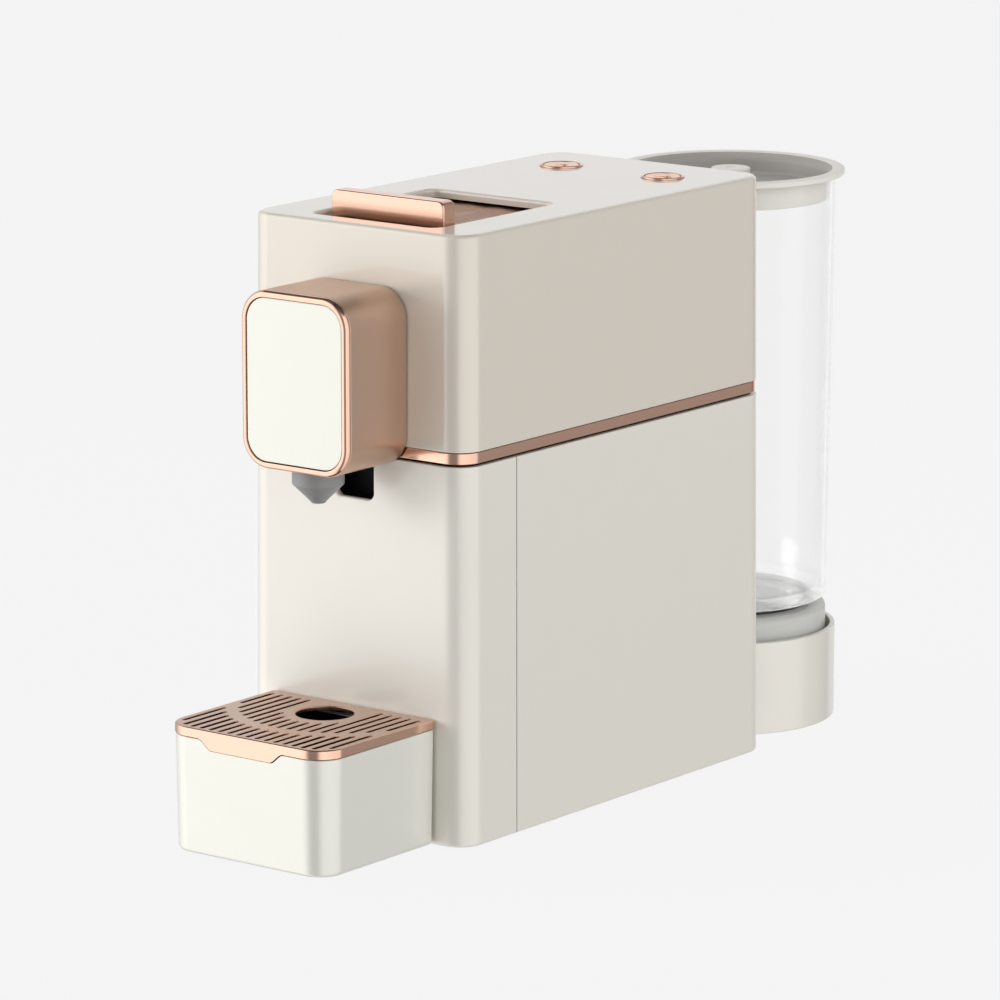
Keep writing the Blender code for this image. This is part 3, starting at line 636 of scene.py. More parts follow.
def finished(
    name: str,
    shape: Shape,
    finish: Finish,
    role: Role,
    steps: Sequence[tuple[str, Shape]] = (),
    sharp: float = 32.0,
) -> bpy.types.Object:
    """Makes a piece, dresses it and hangs it on its body.

    Args:
        name: The piece's name.
        shape: Its surface.
        finish: Its material.
        role: Where it belongs.
        steps: Shapes that are cut out of it or joined on.
        sharp: The angle, in degrees, over which an edge stays sharp.

    Returns:
        The finished object.
    """
    piece = shaped(as_object(name, shape), steps)
    piece.data.materials.clear()
    piece.data.materials.append(WORKSHOP.material(finish))
    piece.data.shade_smooth()
    piece.data.set_sharp_from_angle(angle=math.radians(sharp))
    weights = piece.modifiers.new("flat_faces_win", "WEIGHTED_NORMAL")
    weights.keep_sharp = True
    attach(piece, role.body)
    if role.nodes:
        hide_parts(*role.nodes)
    LOG.info("%s rides on %s, %d faces", name, role.body, len(piece.data.polygons))
    return piece


# ---------------------------------------------------------------- sub-assemblies


@dataclass
class Casing:
    """The shells of the body and the band between them."""

    half_width: float = 56.0
    half_depth: float = 104.1
    corner: float = 11.0
    top: float = 248.0
    wall: float = 2.4
    upper_bottom: float = 161.0
    lower_top: float = 155.2
    seam_y: float = -70.1
    seam: float = 0.6
    recess_middle: float = -52.25
    recess_half: tuple[float, float] = (32.0, 39.75)
    recess_radius: float = 5.0
    recess_flare: float = 1.5
    collar: float = 1.4
    collar_low: float = 244.5
    button_x: float = 26.4
    button_y: float = 68.8
    brew_z: float = 190.0
    pipe_z: float = 14.0
    gland_x: float = 40.0
    gland_z: float = 20.0

    def outline(self) -> Outline:
        """The body's outline in plan."""
        return even(self.half_width, self.half_depth, self.corner, 16)

    def build(self) -> None:
        """Makes the housing, the two lower shells and the band."""
        self.housing()
        self.trim()
        self.lower_shell("front_shell_skin", "front_shell", True)
        self.lower_shell("rear_shell_skin", "rear_shell", False)

    def housing(self) -> None:
        """The upper housing: a hollow section up the wall and over the top, with recess and holes cut in."""
        wall, low, top = self.wall, self.upper_bottom, self.top
        section = profile(
            (wall, top - wall),
            (wall, low + 0.3),
            (wall - 0.3, low),
            arc((0.4, low + 0.4), 0.4, 270, 180, 3),
            arc((2.0, top - 2.0), 2.0, 180, 90, 8),
        )
        half_x, half_y = self.recess_half
        radius, out = self.recess_radius, self.collar
        collar = even(half_x + out, half_y + out, radius + out)
        collar = swept(collar, slab(self.collar_low, top - 1.9, 0.2))
        recess = swept(even(half_x, half_y, radius), flared(236.0, top, top + 5, self.recess_flare, 8))
        hole = profile((0, 240), (9.0, 240), (9.0, 247.6), (9.4, 248), (9.4, 253), (0, 253))
        holes = turned(hole, 64).moved(-self.button_x, self.button_y)
        holes = holes + turned(hole, 64).moved(self.button_x, self.button_y)
        duct = bore_along_y(5.5, -110, -95).moved(z=self.brew_z)
        finished(
            "upper_housing_skin",
            swept(self.outline(), section).drafted(),
            UPPER_ABS,
            Role("base", "shell", ("upper_housing",)),
            [
                ("UNION", collar.moved(y=self.recess_middle)),
                ("DIFFERENCE", recess.moved(y=self.recess_middle) + holes + duct),
            ],
        )

    def trim(self) -> None:
        """The plated band: a small section with soft edges, carried round the body half a millimetre in."""
        low, high, outer, inner, edge = 156.2, 160.7, 0.5, 3.0, 0.35
        section = profile(
            (inner, low), arc((outer + edge, low + edge), edge, 270, 180, 3),
            arc((outer + edge, high - edge), edge, 180, 90, 3), (inner, high),
        )
        role = Role("base", "rose_gold", ("trim_band",))
        finished("trim_band_plated", swept(self.outline(), section, True).drafted(), ROSE_BRIGHT, role)

    def lower_shell(self, name: str, node: str, is_front: bool) -> None:
        """One lower shell: a wall section carried along a U-shaped path that ends at the seam.

        Args:
            name: The piece's name.
            node: The CAD node that it stands for.
            is_front: Whether it is the front shell.
        """
        high, wall = self.lower_top, self.wall
        section = profile(
            arc((1.5, 1.5), 1.5, 270, 180, 6), arc((0.4, high - 0.4), 0.4, 180, 90, 3),
            (wall - 0.2, high), (wall, high - 0.2), (wall, 0.2), (wall - 0.2, 0.0),
        )
        loops = self.outline().at(section[:, 0])
        corner = loops.shape[1] // 4
        inset = section[:, 0][:, None]
        side = -1 if is_front else 1
        seam_y = self.seam_y + side * self.seam / 2
        end_x = (self.half_width - inset) * np.array([[-side, side]])
        ends = np.stack([end_x, np.full_like(end_x, seam_y)], -1)
        middle = loops[:, 2 * corner :] if is_front else loops[:, : 2 * corner]
        path = np.concatenate([ends[:, 1:], middle, ends[:, :1]], 1)
        height = np.broadcast_to(section[:, 1][:, None, None], (*path.shape[:2], 1))
        rings = np.concatenate([path, height], -1).transpose(1, 0, 2)
        steps = self.front_cuts() if is_front else self.rear_cuts()
        finished(name, lofted(rings).drafted(), LOWER_ABS, Role("base", "shell", (node,)), steps)

    def front_cuts(self) -> list[tuple[str, Shape]]:
        """The outlet slot with its softened rim, and the doorway of the pod bin."""
        face = self.half_depth + DRAFT * (DRAFT_HEIGHT - 146.0)
        slot = swept(even(9.5, 15.0, 3.0), flared(92.0, face, face + 6, 1.1)).laid_along_y()
        slot = Shape(slot.points * np.array([1, -1, 1]), slot.faces).moved(z=151.9)
        doorway = swept(even(35.0, 10.0, 1.0, 3), slab(-8, 47.5, 0.5, 3)).moved(y=-103.0)
        return [("DIFFERENCE", slot + doorway)]

    def rear_cuts(self) -> list[tuple[str, Shape]]:
        """The holes of the water pipe and the cord gland in the back wall."""
        pipe = bore_along_y(5.0, 96, 112).moved(z=self.pipe_z)
        gland = bore_along_y(5.2, 96, 112).moved(x=self.gland_x, z=self.gland_z)
        return [("DIFFERENCE", pipe + gland)]


@dataclass
class BrewHead:
    """The head on the front: sleeve, bezel, panel and nozzle."""

    half_width: float = 27.1
    low: float = 153.1
    high: float = 224.9
    corner: float = 12.5
    front: float = -141.8
    back: float = -104.3
    wall: float = 2.2
    bezel_depth: float = 2.2
    bezel_width: float = 2.6
    nozzle_y: float = -126.7

    def outline(self, inset: float = 0.0) -> Outline:
        """The head's outline as seen from the front."""
        half_height = (self.high - self.low) / 2
        return even(self.half_width - inset, half_height - inset, self.corner - inset, 16)

    def placed(self, shape: Shape) -> Shape:
        """A shape that was swept upright, laid along Y at the head's height."""
        return shape.laid_along_y().moved(z=(self.low + self.high) / 2)

    def build(self) -> None:
        """Makes the four pieces of the head."""
        start = self.front + self.bezel_depth + 0.3
        wall = self.wall
        sleeve = profile(
            arc((0.3, start + 0.3), 0.3, 270, 180, 3), arc((0.2, self.back - 0.2), 0.2, 180, 90, 2),
            (wall, self.back), (wall, start),
        )
        spout_hole = turned(profile((0, 147), (10.9, 147), (10.9, 160), (0, 160)), 64)
        finished(
            "head_sleeve_anodised",
            self.placed(swept(self.outline(), sleeve, True)),
            ROSE_SATIN,
            Role("base", "rose_satin", ("head_sleeve",)),
            [("DIFFERENCE", spout_hole.moved(y=self.nozzle_y))],
        )
        self.bezel()
        panel = slab(self.front + 0.4, self.front + 3.6, 0.2, 3, 0.5)
        finished(
            "head_panel_gloss",
            self.placed(swept(self.outline(self.bezel_width + 0.3), panel)),
            PANEL_ABS,
            Role("base", "panel", ("head_panel",)),
        )
        nozzle = profile(
            (10.5, 160), arc((9.5, 147.2), 1.0, 0, -40, 4), (3.2, 139.5),
            arc((2.3, 139.7), 0.9, -45, -90, 3), (1.6, 138.8), (1.5, 138.9), (1.5, 150), (6, 156), (6, 160),
        )
        role = Role("base", "grey_plastic", ("spout_nozzle",))
        finished("spout_nozzle_moulded", turned(nozzle, 96).moved(y=self.nozzle_y), GREY_PP, role)

    def bezel(self) -> None:
        """The plated bezel: a section with rounded outer and inner lips, carried round the head's front."""
        front, back, width = self.front, self.front + self.bezel_depth, self.bezel_width
        section = profile(
            (0.0, back), arc((1.9, front + 1.9), 1.9, 180, 270, 10),
            arc((width - 0.2, front + 0.2), 0.2, 270, 360, 3), (width, back),
        )
        ring = self.placed(swept(self.outline(), section, True))
        finished("head_bezel_plated", ring, ROSE_BRIGHT, Role("base", "rose_gold", ("head_bezel",)))


@dataclass
class PodDoor:
    """The ribbed sliding cover with its handle and its rack."""

    half_width: float = 31.4
    front: float = -91.7
    back: float = -2.0
    top: float = 243.5
    pitch: float = 2.0
    rib_height: float = 1.0
    thick: float = 2.8
    travel: float = 58.0
    tooth_pitch: float = math.pi
    gear_y: float = -5.0
    pitch_z: float = 237.0

    def build(self) -> None:
        """Makes the cover, the rack and the handle."""
        self.cover()
        self.rack()
        handle = swept(even(28.7, 6.45, 3.0, 8), slab(-82.2, -74.7, 0.7, 5))
        handle = handle.laid_along_y().moved(z=250.25)
        role = Role("pod_door", "rose_gold", ("slide_handle",))
        finished("slide_handle_plated", handle, ROSE_BRIGHT, role)

    def cover(self) -> None:
        """The cover: a cross-section whose top waves as a raised cosine, carried along Y.

        The wave is clipped at top and bottom, so that the ribs have steep sides. Its height fades to nothing
        over the last millimetre at the front and the back, so that the ribs end softly.
        """
        count = int(2 * self.half_width / self.pitch)
        x = np.linspace(-self.half_width, self.half_width, count * 10 + 1)
        phase = (x / self.pitch) % 1.0
        wave = np.clip(0.55 + 1.6 * np.cos(math.tau * (phase - 0.5)), 0, 1)
        wave[[0, -1]] = 0.0
        rows = profile(
            (self.front, 0.0), (self.front + 0.4, 0.0), (self.front + 1.0, 0.8), (self.front + 1.6, 1.0),
            (self.back - 1.6, 1.0), (self.back - 1.0, 0.8), (self.back - 0.4, 0.0), (self.back, 0.0),
        )
        valley = self.top - self.rib_height
        rings = []
        for y, share in rows:
            upper = np.column_stack([x, np.full_like(x, y), valley + self.rib_height * wave * share])
            lower = np.array([[side * self.half_width, y, self.top - self.thick] for side in (1, -1)])
            rings.append(np.concatenate([upper, lower]))
        role = Role("pod_door", "rose_gold", ("slide_cover",))
        finished("slide_cover_ribbed", lofted(np.stack(rings)), ROSE_COVER, role, sharp=50.0)

    def rack(self) -> None:
        """The rack under the cover's right side: a bar with a tooth at every pitch, and its arm."""
        root, tip = self.pitch_z + 1.2, self.pitch_z - 0.9
        start = self.gear_y - self.travel - 5.0
        first = math.ceil((start - self.gear_y) / self.tooth_pitch) + 0.5
        count = int((self.back - 1.0 - self.gear_y) / self.tooth_pitch - first) + 1
        middle = self.gear_y + (first + np.arange(count)) * self.tooth_pitch
        tooth = np.array([[-0.7, root], [-0.3, tip], [0.3, tip], [0.7, root]])
        teeth = tooth[None, :, :] + np.stack([middle, np.zeros(count)], -1)[:, None, :]
        spine = root + 3.0
        teeth = teeth.reshape(-1, 2)
        bar = profile((start, spine), (start, root), teeth, (self.back, root), (self.back, spine))
        arm = np.array([[-8.0, 240.9], [-2.4, 240.9], [-2.4, 242.3], [-8.0, 242.3]])
        shape = extruded_x(bar, 38.0, 42.0)
        role = Role("pod_door", "rose_gold")
        finished("door_rack", shape, GREY_PP, role, [("UNION", extruded_x(arm, 31.5, 41.6))])


@dataclass
class Buttons:
    """The two round buttons and their rings, each with a small cup on its cap."""

    x: float = 26.4
    y: float = 68.8
    icon_low: float = 247.9
    icon_top: float = 248.65

    def build(self) -> None:
        """Makes both buttons and rings."""
        for side, x, cup in (("left", -self.x, 1.0), ("right", self.x, 1.35)):
            self.ring(side, x)
            self.cap(side, x, cup)

    def ring(self, side: str, x: float) -> None:
        """A ring round a button: a small turned section with a rounded top.

        Args:
            side: The name of the side.
            x: Where it stands.
        """
        section = profile((7.8, 245.8), (8.7, 245.8), arc((8.25, 248.45), 0.45, 0, 180, 8))
        role = Role("base", "rose_gold", (f"button_ring_{side}",))
        finished(f"button_ring_{side}_plated", turned(section, 64).moved(x, self.y), ROSE_BRIGHT, role)

    def cap(self, side: str, x: float, size: float) -> None:
        """A button's cap: a turned section, slightly dished, with a raised cup on it.

        Args:
            side: The name of the side.
            x: Where it stands.
            size: How large its cup is drawn.
        """
        section = profile(
            (0, 248.3), (3.0, 248.34), (5.5, 248.5), arc((7.0, 248.2), 0.5, 90, 0, 5),
            (7.5, 246.3), (2.5, 246.3), (2.5, 231.8), (0, 231.8),
        )
        body = turned(section, 64)
        bowl = np.concatenate([arc((0, 1.0), 1.5, 180, 360, 12), [[1.5, 1.3], [-1.5, 1.3]]]) * size
        low, top = self.icon_low, self.icon_top
        cup = lofted(np.stack([np.column_stack([bowl, np.full(len(bowl), z)]) for z in (low, top)]))
        saucer = swept(even(2.0 * size, 0.22 * size, 0.2 * size, 4), slab(low, top, 0.05, 1))
        ear = profile((0.45, low), (0.8, low), (0.8, top), (0.45, top)) * np.array([size, 1])
        icon = cup + saucer.moved(y=-1.3 * size) + turned(ear, 20).moved(1.7 * size, 0.75 * size)
        role = Role(f"button_{side}", "rose_gold", (f"button_{side}",))
        finished(f"button_{side}_plated", (body + icon).moved(x, self.y), ROSE_BRIGHT, role)


@dataclass
class DripTray:
    """The pull-out tray and its grille."""

    half_width: float = 41.65
    front: float = -174.8
    back: float = -105.2
    corner: float = 12.0
    rim: float = 47.9
    grille_top: float = 52.0
    grille_bottom: float = 48.2
    plate: float = 1.6
    wall: float = 3.4
    tab_depth: float = 4.1
    tab_x: float = -1.5
    tab_outer: float = 21.6
    tab_inner: float = 14.8
    slit_pitch: float = 4.72
    slit_half: float = 1.0
    slit_side: int = 8
    slit_margin: float = 2.1
    slit_back: float = -110.0
    arc_y: float = -110.4
    arc_radius: float = 45.6
    arc_half: float = 2.6
    hole_y: float = -123.5
    hole_radius: float = 11.8
    hole_collar: float = 16.8

    def outline(self) -> Outline:
        """The tray's outline: large front corners, nearly square back ones."""
        half_depth = (self.back - self.front) / 2
        return Outline(self.half_width, half_depth, (1.0, 1.0, self.corner, self.corner), 16)

    def centred(self, shape: Shape) -> Shape:
        """A shape moved to the middle of the tray."""
        return shape.moved(y=(self.front + self.back) / 2)

    def tab_edge(self, spread: float) -> np.ndarray:
        """The lower edge of the tab: a straight bottom that runs up to the rim in an S on each side.

        Args:
            spread: How far the edge is moved outwards, for the notch that the tab sits in.

        Returns:
            (x, z) points from left to right. The drop is depth * (3t^2 - 2t^3), with t from 0 at the outer
            end to 1 at the inner end of each S.
        """
        x = np.linspace(-self.tab_outer - spread, self.tab_outer + spread, 81)
        t = np.clip((self.tab_outer + spread - np.abs(x)) / (self.tab_outer - self.tab_inner), 0, 1)
        drop = self.tab_depth * (3 * t**2 - 2 * t**3)
        return np.column_stack([x + self.tab_x, self.grille_bottom - drop - spread * 0.8])

    def build(self) -> None:
        """Makes the tray and the grille."""
        wall = self.wall
        section = profile(
            (wall + 2, 2.4), (wall + 0.6, 3.0), (wall, 4.4), (wall, self.rim - 0.3),
            (wall - 0.3, self.rim), arc((0.8, self.rim - 0.5), 0.5, 90, 180, 3),
            arc((3.0, 2.0), 2.0, 180, 270, 6),
        )
        edge = self.tab_edge(0.4)
        notch = profile(edge, (edge[-1, 0], 60), (edge[0, 0], 60))
        tray = finished(
            "drip_tray_moulded",
            self.centred(swept(self.outline(), section)),
            TRAY_ABS,
            Role("tray", "tray_shell", ("drip_tray",)),
            [("DIFFERENCE", extruded_y(notch, self.front - 3, self.front + 7))],
        )
        points, normals = face_data(tray)
        middle = np.array([0.0, (self.front + self.back) / 2])
        # Painted shade: the basin's floor, and its walls up to four millimetres under the rim, get the black
        # finish in place of the shadow inside the tray.
        faces_in = ((middle - points[:, :2]) * normals[:, :2]).sum(1) > 0.1
        is_floor = (normals[:, 2] > 0.5) & (points[:, 2] < 5.0)
        recoated(tray, BLACK_ABS_AND_PAINTED_SHADE, (faces_in & (points[:, 2] < self.rim - 4)) | is_floor)
        self.grille()

    def grille(self) -> None:
        """The grille: a plate with a rim and a tab, cut through by slits and a round hole."""
        low, top = self.grille_bottom, self.grille_top
        section = profile(
            (2.0, top - self.plate), (2.0, low), arc((0.3, low + 0.3), 0.3, 270, 180, 2),
            arc((0.8, top - 0.8), 0.8, 180, 90, 5),
        )
        edge = self.tab_edge(0.0)
        tab = profile(edge, (edge[-1, 0], low + 1), (edge[0, 0], low + 1))
        tab = extruded_y(tab, self.front, self.front + 1.6)
        radius, soft = self.hole_radius, 0.5
        hole = profile(
            (0, 40), (radius, 40), (radius, top - soft), arc((radius + soft, top - soft), soft, 180, 90, 4),
            (radius + soft, top + 5), (0, top + 5),
        )
        cutters = turned(hole, 96).moved(y=self.hole_y)
        for x, start, end in self.slits():
            cutters = cutters + self.slit(x, start, end)
        grille = finished(
            "drip_grille_anodised",
            self.centred(swept(self.outline(), section)),
            ROSE_BRUSHED,
            Role("grille", "rose_satin", ("drip_grille",)),
            [("UNION", tab), ("DIFFERENCE", cutters)],
        )
        self.polish(grille)

    def polish(self, grille: bpy.types.Object) -> None:
        """Polishes upright faces that look outwards at the rim, and paints shade on the upright faces away
        from it, mostly the walls of the slits and the hole.

        Args:
            grille: The finished grille.
        """
        points, normals = face_data(grille)
        outward = (points[:, :2] - np.array([0.0, (self.front + self.back) / 2])) * normals[:, :2]
        is_edge = (outward.sum(1) > 4.0) & (np.abs(normals[:, 2]) < 0.95)
        near_edge = (np.abs(points[:, 0]) > self.half_width - 1.2) | (points[:, 1] < self.front + 1.0)
        beyond_x = np.abs(points[:, 0]) - self.half_width + self.corner
        beyond_y = points[:, 1] - self.front - self.corner
        at_edge = near_edge | (np.hypot(beyond_x, beyond_y) > self.corner - 1.2)
        recoated(grille, ROSE_BRIGHT, is_edge & at_edge)
        # Painted shade: dark brown on the walls of the slits and the hole.
        recoated(grille, ROSE_SLIT_SHADE, (np.abs(normals[:, 2]) < 0.5) & ~at_edge)

    def slit(self, x: float, start: float, end: float) -> Shape:
        """A cutter for one slit: a long rounded outline that flares at the top face.

        Args:
            x: The middle of the slit.
            start: Its front end.
            end: Its back end.

        Returns:
            The cutter.
        """
        outline = even(self.slit_half, (end - start) / 2, self.slit_half, 5)
        section = flared(44.0, self.grille_top, self.grille_top + 3, 0.25, 3)
        return swept(outline, section).moved(x, (start + end) / 2)

    def slits(self) -> list[tuple[float, float, float]]:
        """Where the slits run: each is broken by the plain arc, and stops at the collar of the hole.

        Returns:
            (x, start, end) for each slit, from front to back.
        """
        found = []
        straight = self.half_width - self.corner
        reach = self.corner - self.slit_margin
        for number in range(-self.slit_side, self.slit_side + 1):
            x = number * self.slit_pitch
            outer = abs(x) + self.slit_half
            start = self.front + self.slit_margin
            if outer > straight:
                start = self.front + self.corner - math.sqrt(reach**2 - (outer - straight) ** 2)
            before = self.arc_y - math.sqrt((self.arc_radius + self.arc_half) ** 2 - x**2)
            after = self.arc_y - math.sqrt((self.arc_radius - self.arc_half) ** 2 - x**2)
            end = self.slit_back
            if abs(x) < self.hole_collar:
                end = self.hole_y - math.sqrt(self.hole_collar**2 - x**2)
            found += [(x, start, before), (x, after, end)]
        return found


@dataclass
class WaterTank:
    """The clear tank with its foot, seal and lid, and the cup that it stands in."""

    y: float = 155.4
    top: float = 237.0
    bottom: float = 51.3
    floor: float = 56.7
    top_radius: float = 45.6
    low_radius: float = 43.3
    wall: float = 2.5
    pipe_z: float = 14.0
    dish_radius: float = 44.3
    dish_low: float = 230.5

    def build(self) -> None:
        """Makes the cup, the tank, its foot and seal, the lid and the knob."""
        self.cup()
        self.vessel()
        self.foot()
        self.lid()

    def placed(self, section: np.ndarray, steps: int = 128) -> Shape:
        """A section turned about the tank's axis."""
        return turned(section, steps).moved(y=self.y)

    def cup(self) -> None:
        """The cup: a turned wall with a rounded rim, joined to the body by a short neck."""
        section = profile(
            (0, -1.5), (46.2, -1.5), arc((46.4, -0.7), 0.8, 270, 360, 4),
            arc((46.6, 38.5), 0.6, 0, 90, 5), (45.3, 39.1), (45.0, 38.8), (45.0, 2.0), (44.0, 1.0), (0, 1.0),
        )
        neck = swept(even(20.0, 6.35, 2.0, 6), slab(-1.3, 30.0, 0.8, 3)).moved(y=111.65)
        bore = bore_along_y(3.6, 98, 124).moved(z=self.pipe_z)
        room = self.placed(profile((0, 1.0), (45.0, 1.0), (45.0, 60), (0, 60)))
        finished(
            "tank_base_cup_moulded",
            self.placed(section),
            LOWER_ABS,
            Role("base", "shell", ("tank_base_cup",)),
            [("UNION", neck), ("DIFFERENCE", room), ("DIFFERENCE", bore)],
        )

    def vessel(self) -> None:
        """The tank: a tapered clear wall with a rounded bottom corner and a hole for the valve."""
        low, top, thick = self.bottom, self.top, self.wall
        outer, inner = self.low_radius, self.low_radius - thick
        section = profile(
            arc((self.top_radius - 0.4, top - 0.4), 0.4, 90, 0, 3),
            arc((outer - 2.8, low + 2.8), 2.8, 0, -90, 8), (5.5, low), (5.5, self.floor),
            arc((inner - 1.5, self.floor + 1.5), 1.5, -90, 0, 5),
            (self.top_radius - thick, top - 0.3), (self.top_radius - thick + 0.3, top),
        )
        role = Role("tank", "clear_tank", ("water_tank",))
        finished("water_tank_clear", self.placed(section), CLEAR_TANK, role)

    def foot(self) -> None:
        """The frosted foot with its shoulder and a notch for the water pipe, and the dark seal on it."""
        section = profile(
            (30, 48.7), arc((40.2, 45.9), 2.8, 90, 0, 8), (43, 1.8), (42.6, 1.4), (40.6, 1.4),
            (40.4, 1.8), arc((38.9, 44.4), 1.5, 0, 90, 5), (30, 45.9),
        )
        notch = swept(even(6.0, 5.0, 2.0, 4), slab(-4, 20, 1.5, 3)).moved(y=self.y - 41)
        role = Role("tank", "clear_tank", ("tank_foot",))
        finished("tank_foot_clear", self.placed(section), FROSTED_FOOT, role, [("DIFFERENCE", notch)])
        seal = profile(
            (33, 49.1), (33.1, 49.0), (36, 49.0), (36.1, 49.1), arc((35.6, 50.5), 0.5, 0, 90, 4),
            arc((33.5, 50.5), 0.5, 90, 180, 4),
        )
        role = Role("tank", "dark_rubber", ("tank_seal",))
        finished("tank_seal_moulded", self.placed(seal), RUBBER, role)

    def lid(self) -> None:
        """The lid: a turned dish that rises to a narrow flange, with a skirt in the tank, and its knob."""
        section = profile(
            (0, 231), (39.2, 231), arc((39.2, 232.4), 1.4, -90, -10, 5), (41.2, 236.0), (41.6, 237.3),
            (42.4, 238.3), (44.0, 239.5), (44.7, 239.8), (48.5, 239.8),
            arc((48.5, 239.1), 0.7, 90, 0, 4), arc((48.7, 237.8), 0.5, 0, -90, 3), (42.8, 237.3),
            (42.5, 227.3), (42.2, 227), (40.9, 227), (40.6, 227.3), (40.4, 229), (0, 229),
        )
        role = Role("lid", "lid_plastic", ("tank_lid",))
        lid = finished("tank_lid_moulded", self.placed(section), LID_ABS, role)
        points, normals = face_data(lid)
        x, y, z = (points - np.array([0.0, self.y, 0.0])).T
        faces_in = x * normals[:, 0] + y * normals[:, 1] < 0
        in_dish = (np.hypot(x, y) < self.dish_radius) & (z > self.dish_low)
        # Painted shade: the dish's inner walls and floor take the darker grey in place of their shadow.
        recoated(lid, DISH_PAINTED_SHADE, in_dish & (faces_in | (normals[:, 2] > 0.5)))
        knob = profile(
            (0, 238.7), (1.5, 238.8), (3.0, 239.4), (3.6, 239.5), arc((7.7, 238.7), 0.8, 90, 0, 5),
            (8.2, 231.4), (0, 231.4),
        )
        role = Role("lid", "lid_plastic", ("lid_knob",))
        finished("lid_knob_moulded", self.placed(knob, 64), LID_ABS, role)


class CarriedNodes:
    """The CAD nodes whose shape is right already: they only get their finish."""

    def build(self) -> None:
        """Gives every CAD node the finish of its record slot."""
        slots = {part["node"]: part["material_slot"] for part in frame["record"]["subparts"]}
        for name, node in frame["nodes"].items():
            material = WORKSHOP.material(SLOT_FINISHES[slots[name]])
            for place in node.material_slots:
                place.material = material
            if not node.hide_render:
                LOG.info("%s keeps its shape and gets %s", name, material.name)


# ---------------------------------------------------------------- studio

# A ramp holds values from 0 to 1, so its brightness is divided by this and multiplied again behind it.
BRIGHTEST = 2.0


@dataclass(frozen=True)
class Surround:
    """The studio's walls as a map of brightness, by compass angle and by height above the horizon.

    Each stop of walls is (degrees from the front, positive to the right, brightness), and each stop of
    heights is (sine of the elevation, factor). The dark stretches draw grey bands on glossy corners.
    """

    walls: tuple[tuple[float, float], ...] = (
        (-180, 0.85), (-150, 0.9), (-136, 0.9), (-126, 0.55), (-100, 0.6), (-70, 1.3), (-55, 1.7),
        (-20, 1.3), (-10, 0.55), (-2, 0.3), (26, 0.3), (40, 1.15), (50, 1.35), (80, 1.2), (122, 1.05),
        (127, 0.42), (150, 0.38), (174, 0.2), (178, 0.9), (180, 0.95),
    )
    heights: tuple[tuple[float, float], ...] = (
        (-1.0, 0.8), (-0.7, 0.9), (-0.35, 1.0), (0.6, 1.0), (0.72, 0.1), (1.0, 0.1),
    )

    def build(self) -> bpy.types.World:
        """Makes the world.

        Returns:
            The world, whose brightness is the walls' ramp times the heights' ramp.
        """
        world = bpy.data.worlds.new("studio")
        world.use_nodes = True
        tree = world.node_tree
        place = add_node(tree, "ShaderNodeTexCoord", {}).outputs["Generated"]
        part = add_node(tree, "ShaderNodeSeparateXYZ", {"Vector": place}).outputs
        math_node = "ShaderNodeMath"
        ahead = add_node(tree, math_node, {0: part["Y"], 1: -1.0}, operation="MULTIPLY").outputs[0]
        compass = add_node(tree, math_node, {0: part["X"], 1: ahead}, operation="ARCTAN2").outputs[0]
        walls = [(angle / 360 + 0.5, level) for angle, level in self.walls]
        heights = [(height / 2 + 0.5, level) for height, level in self.heights]
        around = self.ramp(tree, compass, (-math.pi, math.pi), walls)
        upward = self.ramp(tree, part["Z"], (-1.0, 1.0), heights)
        glow = add_node(tree, math_node, {0: around, 1: upward}, operation="MULTIPLY").outputs[0]
        tree.links.new(glow, tree.nodes["Background"].inputs["Strength"])
        tree.nodes["Background"].inputs["Color"].default_value = (1.0, 1.0, 1.0, 1.0)
        return world

    def ramp(
        self,
        tree: bpy.types.NodeTree,
        value: bpy.types.NodeSocket,
        span: tuple[float, float],
        stops: Sequence[tuple[float, float]],
    ) -> bpy.types.NodeSocket:
        """A value carried through a ramp of stops.

        Args:
            tree: The world's nodes.
            value: What the ramp reads.
            span: The values at the ramp's two ends.
            stops: (place from 0 to 1, brightness up to BRIGHTEST).

        Returns:
            The brightness.
        """
        share = add_node(
            tree, "ShaderNodeMapRange", {"Value": value, "From Min": span[0], "From Max": span[1]}
        ).outputs["Result"]
        node = add_node(tree, "ShaderNodeValToRGB", {"Fac": share})
        elements = node.color_ramp.elements
        while len(elements) < len(stops):
            elements.new(0.5)
        for element, (position, _) in zip(elements, stops):
            element.position = position
        for element, (_, level) in zip(elements, stops):
            share = level / BRIGHTEST
            element.color = (share, share, share, 1.0)
        scaled = {0: node.outputs["Color"], 1: BRIGHTEST}
        return add_node(tree, "ShaderNodeMath", scaled, operation="MULTIPLY").outputs[0]


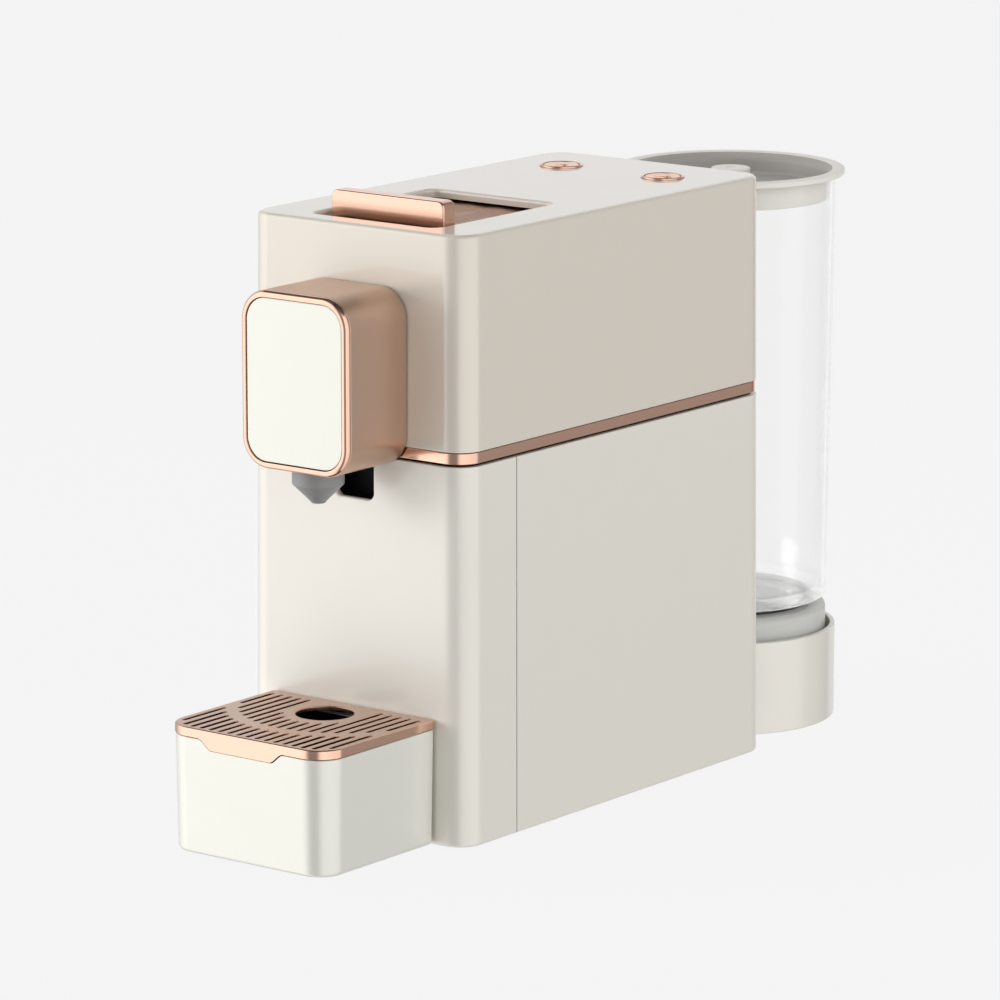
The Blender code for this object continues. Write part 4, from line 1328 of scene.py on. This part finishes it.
@dataclass
class Studio:
    """Camera, floor and lights."""

    azimuth: float = 37.504
    elevation: float = 11.939
    distance: float = 2415.55
    lens: float = 210.0
    off_right: float = 11.917
    off_up: float = -74.136
    focal: float = 5833.36
    aim_height: float = 150.0
    light_aim: float = 130.0
    paper: str = "F5F5F5"
    paper_glow: float = 0.97
    paper_share: float = 0.03
    paper_radius: float = 9.0

    def build(self) -> None:
        """Sets up camera, floor, surround and lights."""
        self.camera()
        self.floor()
        bpy.context.scene.world = Surround().build()
        bpy.context.scene.view_settings.view_transform = "Standard"
        self.area("key", -50.0, 8.0, 1500.0, 500.0, 10.4)
        self.area("fill_right", 100.0, 20.0, 1500.0, 1200.0, 4.6)
        self.area("top", -90.0, 80.0, 1500.0, 1200.0, 7.5)

    def axes(self) -> tuple[np.ndarray, np.ndarray, np.ndarray]:
        """The camera's right, up and back directions."""
        turn, rise = math.radians(self.azimuth), math.radians(self.elevation)
        level = math.cos(rise)
        back = np.array([math.sin(turn) * level, -math.cos(turn) * level, math.sin(rise)])
        right = np.array([math.cos(turn), math.sin(turn), 0.0])
        return right, np.cross(back, right), back

    def camera(self) -> None:
        """A long lens at the front right, a little above the machine."""
        right, up, back = self.axes()
        shift = self.distance / self.focal
        place = np.array([0.0, 0.0, self.aim_height]) + back * self.distance
        place = place - right * self.off_right * shift + up * self.off_up * shift
        data = bpy.data.cameras.new("camera")
        data.lens = self.lens
        data.sensor_width = 36.0
        data.clip_end = 50.0
        made = bpy.data.objects.new("camera", data)
        bpy.context.scene.collection.objects.link(made)
        turn = Matrix(np.column_stack([right, up, back]).tolist()).to_4x4()
        made.matrix_world = Matrix.Translation(Vector((place * MM + DATUM).tolist())) @ turn
        bpy.context.scene.camera = made

    def floor(self) -> None:
        """A wide sheet of pale paper that glows evenly, so that no horizon and hardly a shadow shows."""
        angle = np.arange(64) * math.tau / 64
        radius = self.paper_radius
        points = np.column_stack([radius * np.cos(angle), radius * np.sin(angle), np.zeros(64)])
        mesh = bpy.data.meshes.new("floor")
        mesh.from_pydata(points.tolist(), [], [list(range(64))])
        made = bpy.data.objects.new("floor", mesh)
        bpy.context.scene.collection.objects.link(made)
        material = bpy.data.materials.new("studio_paper")
        material.use_nodes = True
        shader = material.node_tree.nodes["Principled BSDF"]
        share = self.paper_share
        shader.inputs["Base Color"].default_value = (share, share, share, 1.0)
        shader.inputs["Roughness"].default_value = 1.0
        shader.inputs["Specular IOR Level"].default_value = 0.0
        shader.inputs["Emission Color"].default_value = linear(self.paper)
        shader.inputs["Emission Strength"].default_value = self.paper_glow
        made.data.materials.append(material)
        made.visible_glossy = False
        made.visible_diffuse = False

    def area(
        self, name: str, azimuth: float, elevation: float, away: float, size: float, power: float
    ) -> None:
        """A square area light that faces the middle of the machine, and isn't seen in reflections.

        Args:
            name: The light's name.
            azimuth: Degrees from the front, positive to the right.
            elevation: Degrees above the horizon.
            away: Its distance.
            size: Its side.
            power: Its power in watts.
        """
        data = bpy.data.lights.new(name, "AREA")
        data.size = size * MM
        data.energy = power
        made = bpy.data.objects.new(name, data)
        bpy.context.scene.collection.objects.link(made)
        turn, rise = math.radians(azimuth), math.radians(elevation)
        level = math.cos(rise)
        way = Vector((math.sin(turn) * level, -math.cos(turn) * level, math.sin(rise)))
        made.location = Vector((0.0, 0.0, self.light_aim * MM)) + way * away * MM
        made.rotation_euler = (-way).to_track_quat("-Z", "Y").to_euler()
        made.visible_glossy = False


def main() -> None:
    """Builds the studio, then the machine, sub-assembly by sub-assembly."""
    logging.basicConfig(level=logging.INFO, format="%(message)s")
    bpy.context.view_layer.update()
    Studio().build()
    CarriedNodes().build()
    for part in (Casing(), BrewHead(), PodDoor(), Buttons(), DripTray(), WaterTank()):
        LOG.info("%s", type(part).__name__)
        part.build()


if __name__ == "__main__":
    main()
